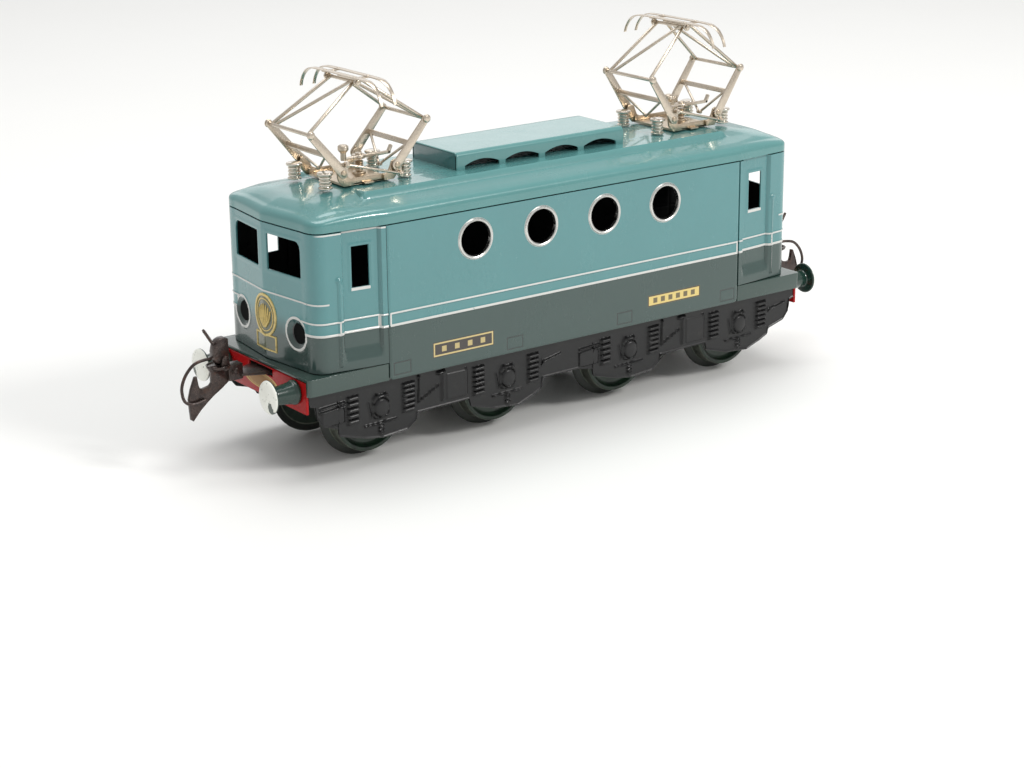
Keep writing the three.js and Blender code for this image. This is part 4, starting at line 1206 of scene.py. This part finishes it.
def bogie_relief(u, z):
    """Relief of one bogie side; u runs as x does on the front bogie."""
    h = 0.0
    if u < -10:
        # end box and its two rods
        h = dome(rounded_box(u, z, -95.0, -86.3, 15.8, 21.4, 1.2), 0.55, 0.7)
        for rod_z in (20.9, 22.2):
            h = max(h, bar(u, z, (-95.2, rod_z - 0.2), (-86.3, rod_z + 0.5), 0.55, 0.8))
    h = max(h, coil_relief(u, z))
    for c in (-BOGIE_X - WHEEL_X, -BOGIE_X + WHEEL_X):
        if abs(u - c) < 6:
            h = axle_box_relief(u, z, c, h)
    # brake rod with knobs, beaded chain, post
    details = [bar(u, z, (-59.3, 17.4), (-59.2, 25.2), 0.5, 0.7), boss(u, z, -59.2, 25.3, 0.85, 1.15)]
    details += [boss(u, z, -59.3 + 7.1 * k / 5, 17.4 + 3.6 * k / 5, 0.72, 1.15) for k in range(6)]
    details.append(bar(u, z, (-50.4, 16.2), (-50.4, 24.6), 0.75, 0.95))
    details.append(bar(u, z, (-52.0, 25.2), (-49.6, 25.4), 0.8, 1.2))
    details.append(dome(rounded_box(u, z, -48.9, -40.4, 15.6, 24.4, 0.8), 0.3, 0.5))
    details.append(boss(u, z, -41.2, 24.6, 0.6, 0.8))
    # rod with a knob beyond the last stack
    details.append(boss(u, z, -10.9, 21.0, 0.95, 1.2))
    details.append(bar(u, z, (-10.6, 21.0), (-3.8, 22.4), 0.55, 0.75))
    return max(h, *details)


def make_side_frame(side):
    """Black pressing with the relief of two bogie sides; the right one is the left one turned round."""
    columns, rows = 760, 84
    rings = []
    for i in range(columns + 1):
        x = -SIDE_HALF + (SIDE_HALF + SIDE_HALF) * i / columns
        low = interp(LOWER_EDGE, x)
        # the rear bogie repeats the front one; the plain stretch between them has no relief
        u = x if x < 0 else x - BOGIE_PITCH
        if x > 0 and u < -94.4:
            u = -200
        ring = []
        for j in range(rows + 1):
            z = low + (SIDE_TOP - low) * j / rows
            rim = 0.35 * smoothstep(0.9, 0.3, z - low) * smoothstep(-0.01, 0.25, z - low)
            h = min(max(bogie_relief(u, z), rim), RELIEF_MAX)
            ring.append((x * -side, side * (SIDE_Y + h), z))
        rings.append(ring)
    v, f = loft(rings, closed=False, caps=False)
    node = f"side_frame_{SIDE_NAME[side]}"
    mats = [MATS["black"], MATS["inside"]]
    obj = mesh_of(f"{node}_pressing", v, f, "body", "black_enamel", mats, node, smooth=50)
    make_sheet(obj, 0.35, lambda face: face.normal.y * side, inner_slot=0)
    shade(obj.data, 50)


# ------------------------------------------------------------------ wheels, axles, buffers
def make_wheel(i, side):
    rim = [(1.6, 0.05), (11.0, 0.05), (14.0, 0.0), (14.9, 0.25), (14.9, 0.6), (14.2, 1.1), (12.85, 1.6),
           (12.55, 2.0), (12.4, 6.2), (11.9, 6.35), (11.2, 6.3)]
    web = [(10.6, 5.4), (9.9, 4.9), (6.4, 4.7), (5.9, 5.0), (4.4, 5.0), (3.9, 5.2), (3.3, 6.0), (1.6, 6.1)]
    v, f = turned(ease(rim + web, 0.25), (AXLES[i], side * 13.7, WHEEL_R), (0, side, 0), 72)
    node = f"wheel_{i + 1}_{SIDE_NAME[side]}"
    mesh_of(f"{node}_turned", v, f, f"wheelset_{i + 1}", "wheel_green_enamel", MATS["wheel"], node, smooth=30)


def make_axle(i):
    prof = ease([(0.0, 0.0), (1.1, 0.0), (1.45, 0.4), (1.45, 40.4), (1.1, 40.8), (0.0, 40.8)], 0.15)
    v, f = turned(prof, (AXLES[i], -20.4, WHEEL_R), (0, 1, 0), 32)
    node = f"axle_{i + 1}"
    mesh_of(f"{node}_turned", v, f, f"wheelset_{i + 1}", "plain_steel", MATS["steel"], node, smooth=30)


def make_buffer(end, side):
    s = END_SIGN[end]
    stem = [(0.0, 0.0), (3.85, 0.0), (3.9, 0.9), (3.5, 1.6), (3.15, 4.0), (2.72, 7.6), (2.9, 8.1)]
    head = [(4.8, 8.5), (5.2, 8.7), (5.25, 9.2), (5.0, 9.65), (4.2, 10.1), (2.6, 10.32), (1.2, 10.38),
            (0.0, 10.4)]
    base = (s * (FRAME_HALF + 0.25), side * BUFFER_Y, BUFFER_Z)
    v, f = turned(ease(stem + head, 0.3), base, (s, 0, 0), 64)
    node = f"buffer_{end}_{SIDE_NAME[side]}"
    mesh_of(f"{node}_turned", v, f, "body", "dark_green_enamel", MATS["buffer"], node, smooth=35)


# ------------------------------------------------------------------ couplers
def drawbar_parts():
    """Drawbar of the front coupler: tapered strip, folded head, arrow hook, oval seat and ears."""
    pivot_x, eye_r, ear_x, pin_z = -92.5, 3.6, -113.2, 36.0
    edge = [(pivot_x, eye_r), (-99.0, 5.4), (-101.5, 5.4), (-108.0, 2.4)]
    angles = [-math.pi / 2 + math.pi * k / 12 for k in range(1, 12)]
    eye = [(pivot_x + eye_r * math.cos(a), eye_r * math.sin(a)) for a in angles]
    verts, faces = plate_y(edge + [(x, -y) for x, y in reversed(edge)] + eye, 29.1, 29.9, 0.12)
    parts = [([(x, z, y) for x, y, z in verts], [tuple(reversed(q)) for q in faces])]
    head = [(-112.0, 28.3), (-111.7, 28.0), (-107.4, 28.0), (-107.0, 28.3), (-107.0, 32.9), (-107.4, 33.2),
            (-111.7, 33.2), (-112.0, 32.9)]
    parts.append(plate_y(head, -1.7, 1.7, 0.25))
    for s in (-1, 1):
        cap = [(0.95, 0), (0.9, 0.2), (0.5, 0.36), (0, 0.4)]
        parts.append(eased_turn(cap, (-109.3, s * 1.7, 31.0), (0, s, 0), 20, 0.08))
    hook = [(-111.5, 27.8), (-114.1, 25.9), (-116.6, 24.4), (-119.0, 22.6), (-121.6, 20.4), (-124.3, 17.4),
            (-125.0, 17.9), (-125.5, 24.4), (-124.6, 27.6), (-123.1, 31.2), (-122.4, 31.3), (-122.0, 28.6),
            (-121.6, 27.4), (-120.6, 27.1), (-118.2, 27.6), (-117.5, 28.4), (-117.5, 31.6), (-118.6, 33.3),
            (-117.6, 33.6), (-111.5, 33.4)]
    parts.append(plate_y(hook, -0.65, 0.65, 0.14))
    seat = [(3.0, 0), (3.5, 0.4), (3.75, 1.1), (3.4, 1.15), (3.0, 0.7), (0, 0.7)]
    parts.append(eased_turn(seat, (-114.8, 0, 32.5), (0, 0, 1), 40, 0.12))
    for s in (-1, 1):
        parts.append(plate_y(link_outline((ear_x, 35.4), (ear_x, 33.3), 1.15, 1.5), s * 1.85, s * 2.35, 0.12))
        cap = [(0.7, 0), (0.65, 0.2), (0, 0.32)]
        parts.append(eased_turn(cap, (ear_x, s * 2.35, pin_z), (0, s, 0), 16, 0.08))
    parts.append(rod((ear_x, -2.4, pin_z), (ear_x, 2.4, pin_z), 0.55, 14))
    return parts


def loop_parts():
    """Lifting loop of the front coupler: rounded block, threaded finger rod, pin head and hoop."""
    outline = [(-111.6, 34.6), (-111.5, 38.0), (-111.6, 41.6), (-112.4, 42.0), (-114.0, 42.0), (-115.3, 41.4),
               (-116.2, 40.0), (-116.7, 38.0), (-116.6, 35.6), (-115.9, 34.5), (-115.2, 34.3), (-112.0, 34.3)]
    thread = [(0.0, 0.0), (0.55, 0.0)]
    for k in range(14):
        h = 0.3 + k * 0.48
        thread += [(0.44, h), (0.54, h + 0.24)]
    thread += [(0.44, 7.2), (0.4, 7.5), (0.0, 7.55)]
    hoop = [(-115.6, 1.2, 35.4), (-118.6, 1.7, 35.3), (-122.0, 1.9, 34.4), (-124.9, 1.9, 31.6),
            (-126.45, 1.8, 28.2), (-126.6, 1.4, 25.4), (-126.5, 0.0, 23.9), (-125.6, -1.4, 23.4),
            (-123.2, -1.6, 23.2), (-120.0, -1.6, 23.8)]
    along_rod = tuple(Vector((-4.2, 0, 6.8)).normalized())
    return [plate_y(outline, -1.6, 1.6, 0.35), turned(thread, (-115.3, 0, 39.0), along_rod, 18),
            rod((-115.6, -1.9, 36.9), (-115.6, -1.5, 36.9), 0.7, 16), tube(hoop, 0.5, 14, 8)]


def make_coupler(end):
    for body, name, node, parts in ((f"coupler_{end}", "hook", "drawbar", drawbar_parts()),
                                    (f"loop_{end}", "hoop", "loop", loop_parts())):
        v, f = join_parts(parts)
        prefix = f"coupler_{end}_"
        turn = end == "rear"
        mesh_of(prefix + name, v, f, body, "browned_steel", MATS["browned"], prefix + node, turn=turn)


# ------------------------------------------------------------------ pantographs
def rivet(x, y, z, s, r=0.9, h=0.45):
    """Rivet head on the side that s points to."""
    return eased_turn([(r, 0), (r, h * 0.35), (r * 0.72, h * 0.8), (0, h)], (x, y, z), (0, s, 0), 24, 0.1)


def tray_parts(xc):
    """Tray with turned-up sides, feet, the spring post, and four ears with pivot rivets."""
    parts = [block(xc - 8.6, xc + 8.6, -10.4, 10.4, 84.9, 85.6, 0.15)]
    for s in (-1, 1):
        parts.append(block(xc - 8.6, xc + 8.6, s * 9.7, s * 10.4, 84.95, 87.0, 0.14))
        parts.append(block(xc - 2.0, xc + 1.4, s * 10.3, s * 11.9, 84.95, 85.5, 0.12))
    post = ease([(0, 0), (2.2, 0), (2.1, 0.7), (1.5, 1.0), (1.2, 1.2), (1.2, 1.6)], 0.1)
    for k in range(4):
        post += [(1.15, 1.7 + 0.62 * k), (1.55, 2.0 + 0.62 * k)]
    parts.append(turned(post + [(1.2, 4.2), (0, 4.3)], (xc + 3.5, 0, 85.5), (0, 0, 1), 24))
    ear = [(-4.2, 85.0), (-0.6, 85.0), (1.2, 87.0), (1.65, 89.4), (1.2, 90.6), (0, 91.1), (-1.2, 90.6),
           (-1.7, 89.2), (-2.6, 87.4), (-4.2, 86.8)]
    for sx in (-1, 1):
        for sy in (-1, 1):
            x = xc + sx * PIVOT_HALF
            parts.append(plate_y([(x + sx * dx, z) for dx, z in ear], sy * 10.35, sy * 11.15, 0.12))
            parts.append(rod((x, sy * 10.5, PIVOT_Z), (x, sy * 12.5, PIVOT_Z), 0.5, 14))
            parts.append(rivet(x, sy * 12.33, PIVOT_Z, sy, 1.0, 0.5))
    return parts


def lower_parts(foot, knee, sx):
    """Lower arm frame: two flat strips, a cross strip, two braces to a short bar and the lug of the link."""
    parts = []
    for sy in (-1, 1):
        y0 = sy * ARM_Y - 0.32
        parts.append(plate_y(link_outline(foot, knee, 1.6, 1.15), y0, y0 + 0.64, 0.13))
    bx, bz = (f + (k - f) * 0.46 for f, k in zip(foot, knee))
    cross = link_outline((bx - 0.35, bz - 0.4), (bx + 0.35, bz + 0.4), 0.35, 0.35)
    parts.append(plate_y(cross, -ARM_Y, ARM_Y, 0.1))
    vx, vz = (f + (k - f) * -0.07 for f, k in zip(foot, knee))
    mid = -sx * 3.3
    for sy in (-1, 1):
        parts.append(rod((bx, sy * 10.6, bz), (vx, mid + sy * 0.3, vz), 0.42, 12))
    parts.append(rod((vx, mid - 1.0, vz), (vx, mid + 1.0, vz), 0.62, 14))
    lug = (foot[0] + 0.9, foot[1] + 2.7) if sx < 0 else (foot[0] + 0.9, foot[1] - 2.6)
    parts.append(plate_y(link_outline(foot, lug, 1.45, 0.9), -ARM_Y - 0.25, -ARM_Y + 0.25, 0.1))
    return parts


def upper_parts(knee, ax, apex, sx):
    """Upper frame: knee pin with rivets, two side rods, a diagonal and the apex pin."""
    parts = [rod((knee[0], -12.7, knee[1]), (knee[0], 12.7, knee[1]), 0.6, 14)]
    for sy in (-1, 1):
        parts.append(rivet(knee[0], sy * 12.33, knee[1], sy, 1.3, 0.8))
        parts.append(rod((knee[0], sy * 10.6, knee[1]), (ax, sy * 6.6, apex), 0.55, 12))
    parts.append(rod((knee[0], -sx * 8.8, knee[1]), (ax, sx * 5.0, apex), 0.5, 12))
    half = 9.3 if sx < 0 else 7.2
    parts.append(rod((ax, -half, apex), (ax, half, apex), 0.55, 14))
    if sx < 0:
        parts += [rivet(ax, s * 9.05, apex, s, 0.85, 0.3) for s in (-1, 1)]
    return parts


def bow(x, top, path):
    """One flat bow of the collector, tapered towards its drooping horns."""
    rings = []
    last = len(path) - 1
    for i, p in enumerate(path):
        t = (path[min(i + 1, last)] - path[max(i - 1, 0)]).normalized()
        up = Vector((-t.y, t.x))
        w, thick = 1.1 * (1 - 0.5 * smoothstep(15.0, 23.2, abs(p.x))), 0.34
        cross = [(-w, -0.1), (-w * 0.8, 0.0), (w * 0.8, 0.0), (w, -0.1), (w, -thick + 0.06),
                 (w * 0.85, -thick), (-w * 0.85, -thick), (-w, -thick + 0.06)]
        rings.append([(x + dx, p.x + up.x * h, top + p.y + up.y * h) for dx, h in cross])
    return loft(rings)


def head_parts(xc, apex):
    """Collector head: two flat bows on two cross straps with lugs, and small rivets."""
    top = apex + 1.8
    half = [(8, 0.0), (14.9, -0.15), (17.4, -0.65), (19.5, -1.6), (21.2, -3.1), (22.5, -5.0), (23.2, -6.9)]
    path = smooth_path([(-y, z) for y, z in reversed(half)] + [(0, 0.0)] + half, 5)
    parts = [bow(xc + dx, top, path) for dx in (-BOW_X, BOW_X)]
    for s in (-1, 1):
        parts.append(block(xc - 3.1, xc + 3.1, s * 7.4, s * 9.4, top - 0.72, top - 0.3, 0.12))
        lug = link_outline((xc - APEX_HALF, apex), (xc - APEX_HALF, top - 1.1), 1.25, 0.9)
        parts.append(plate_y(lug, s * 8.2, s * 8.8, 0.12))
        for dx in (-BOW_X, BOW_X):
            cap = [(0.62, 0), (0.5, 0.13), (0, 0.19)]
            parts.append(eased_turn(cap, (xc + dx, s * 8.4, top - 0.01), (0, 0, 1), 14, 0.06))
    return parts


def link_parts(xc):
    """Cross link on the near side, between the lugs of the two lower arms."""
    p, q = (xc - PIVOT_HALF + 0.9, PIVOT_Z + 2.7), (xc + PIVOT_HALF + 0.9, PIVOT_Z - 2.6)
    y0 = -ARM_Y - 1.5
    parts = [rod((p[0], y0 + 0.4, p[1]), (q[0], y0 + 0.4, q[1]), 0.45, 14)]
    for e in (p, q):
        parts.append(plate_y(link_outline(e, e, 0.85, 0.85), y0, y0 + 0.8, 0.14))
        cap = [(0.55, 0), (0.45, 0.22), (0, 0.3)]
        parts.append(eased_turn(cap, (e[0], y0 + 0.02, e[1]), (0, -1, 0), 14, 0.06))
    return parts


def catch_parts(x):
    """Catch lever with its turned-up nose, eye, pivot head and knob."""
    y0, y1, up = -1.0 - 0.55, -1.0 + 0.55, (0, 0, 1)
    eye = [(2.1, 0), (2.2, 0.3), (2.2, 0.9), (2.0, 1.2), (0, 1.25)]
    handle = [(0.9, 0), (0.9, 2.4), (1.3, 2.8), (1.7, 3.3), (1.7, 4.4), (1.2, 4.9), (0, 5.0)]
    return [plate_y(link_outline((x - 6.0, 90.9), (x + 10.5, 91.1), 0.5, 0.5), y0, y1, 0.14),
            plate_y(link_outline((x + 10.3, 91.1), (x + 11.2, 92.9), 0.5, 0.5), y0, y1, 0.14),
            eased_turn(eye, (x, 0, 90.4), up, 32, 0.12),
            eased_turn([(1.2, 0), (1.1, 0.5), (0, 0.7)], (x, 0, 91.6), up, 20, 0.1),
            eased_turn(handle, (x - 6.2, -1.0, 90.6), up, 24, 0.15)]


def make_insulators(end, xc):
    """Turned posts: a foot, three discs and a cap."""
    prof = [(0, 0), (2.15, 0), (2.2, 0.45), (1.65, 0.75)]
    for h in (0.95, 2.05, 3.15):
        prof += [(1.6, h), (2.0, h + 0.18), (2.0, h + 0.7), (1.6, h + 0.88)]
    prof += [(1.65, 4.2), (2.5, 4.42), (2.6, 4.75), (2.5, 5.1), (1.9, 5.3), (0, 5.4)]
    for i, (sx, sy) in enumerate(((-1, -1), (-1, 1), (1, -1), (1, 1)), 1):
        v, f = turned(ease(prof, 0.12, 2), (xc + sx * 14.4, sy * 9.0, 84.75), (0, 0, 1), 40)
        node = f"insulator_{end}_{i}"
        mesh_of(f"{node}_turned", v, f, "body", "nickel_plate", MATS["nickel_bright"], node, smooth=30)


def make_panto(end):
    xc, raise_deg = PANTO[end]
    a = math.radians(raise_deg)
    kx, kz = PIVOT_HALF + ARM_LEN * math.cos(a), PIVOT_Z + ARM_LEN * math.sin(a)
    apex = kz + math.sqrt(FRAME_LEN ** 2 - (kx - APEX_HALF) ** 2)
    prefix = f"panto_{end}_"

    def piece(name, parts, node, body=None, mat="nickel"):
        v, f = join_parts(parts)
        node = prefix + node
        mesh_of(prefix + name, v, f, body or node, "nickel_plate", MATS[mat], node, smooth=38)

    piece("tray", tray_parts(xc), "base", "body", "nickel_warm")
    for sx, tag in ((-1, "a"), (1, "b")):
        foot, knee = (xc + sx * PIVOT_HALF, PIVOT_Z), (xc + sx * kx, kz)
        piece(f"lower_{tag}", lower_parts(foot, knee, sx), f"arm_{tag}")
        piece(f"upper_{tag}", upper_parts(knee, xc + sx * APEX_HALF, apex, sx), f"frame_{tag}")
    piece("collector", head_parts(xc, apex), "head")
    piece("cross_link", link_parts(xc), "link")
    piece("catch_lever", catch_parts(xc + 3.5), "catch")
    make_insulators(end, xc)


# ------------------------------------------------------------------ camera, light, floor
def set_camera():
    cam = bpy.data.cameras.new("camera")
    obj = bpy.data.objects.new("camera", cam)
    bpy.context.scene.collection.objects.link(obj)
    azimuth, elevation, roll = (math.radians(v) for v in (-35.73, 17.741, -0.711))
    level = math.cos(elevation)
    back = Vector((math.sin(azimuth) * level, -math.cos(azimuth) * level, math.sin(elevation)))
    right0 = Vector((math.cos(azimuth), math.sin(azimuth), 0))
    up0 = back.cross(right0)
    right = right0 * math.cos(roll) + up0 * math.sin(roll)
    up = up0 * math.cos(roll) - right0 * math.sin(roll)
    target = Vector((-8.30, 6.23, 8.16))
    turn = Matrix((right, up, back)).transposed().to_4x4()
    obj.matrix_world = Matrix.Translation((target + back * 755.4) * MM) @ turn
    cam.sensor_width = 36.0
    cam.lens = 79.0
    cam.shift_x, cam.shift_y = 0.0214, -0.0103
    cam.clip_start = 0.01
    cam.clip_end = 50.0
    bpy.context.scene.camera = obj


def area(name, at, to, size, power, colour=(1, 1, 1), size_y=None):
    light = bpy.data.lights.new(name, "AREA")
    light.energy = power
    light.color = colour
    light.shape = "RECTANGLE"
    light.size = size
    light.size_y = size_y or size
    obj = bpy.data.objects.new(name, light)
    bpy.context.scene.collection.objects.link(obj)
    obj.location = at
    obj.rotation_euler = (Vector(to) - Vector(at)).to_track_quat("-Z", "Y").to_euler()


def set_stage():
    mesh = bpy.data.meshes.new("floor")
    corners = ((-6, -6), (6, -6), (6, 6), (-6, 6))
    mesh.from_pydata([(x, y, -0.0002) for x, y in corners], [], [(0, 1, 2, 3)])
    floor = bpy.data.objects.new("floor", mesh)
    bpy.context.scene.collection.objects.link(floor)
    m = Material("floor_pale", 0.6)
    m.base(rgb(238, 238, 236))
    m.shade(m.noise(0.01) * 0.02 + 0.98)
    mesh.materials.append(m.done())
    world = bpy.data.worlds.new("world")
    bpy.context.scene.world = world
    world.use_nodes = True
    back = world.node_tree.nodes["Background"]
    back.inputs["Color"].default_value = (1.0, 1.0, 1.0, 1.0)
    back.inputs["Strength"].default_value = 0.62
    area("key", (0.5, -0.95, 0.85), (0, 0, 0.04), 0.26, 8.0, (1.0, 0.99, 0.97))
    area("back", (0.85, 1.25, 0.62), (0, 0, 0.08), 1.5, 1.8, size_y=0.6)
    area("top", (0.1, 0.2, 1.2), (0, 0, 0.05), 0.8, 7.5)
    bpy.context.scene.view_settings.view_transform = "Standard"


def build():
    set_camera()
    set_stage()
    for end in ("front", "rear"):
        make_cab(end)
        make_badge(end)
        make_coupler(end)
        make_panto(end)
        for side in (-1, 1):
            make_buffer(end, side)
        softened(f"buffer_beam_{end}", f"buffer_beam_{end}_plate", MATS["red"], 0.15)
        softened(f"bogie_{end}_frame", f"bogie_{end}_cradle", MATS["black"], 0.2)
    make_seam_strips()
    for side in (-1, 1):
        make_side_cover(side)
        make_side_frame(side)
    make_roof()
    make_roof_band()
    make_vent()
    softened("frame_pan", "footplate", MATS["green"], 0.3, 3)
    softened("motor_block", "motor_casing", MATS["steel"], 0.4, 3)
    softened("pickup_shoe", "pickup_blade", MATS["steel"], 0.15)
    for i in range(4):
        make_axle(i)
        for side in (-1, 1):
            make_wheel(i, side)


build()
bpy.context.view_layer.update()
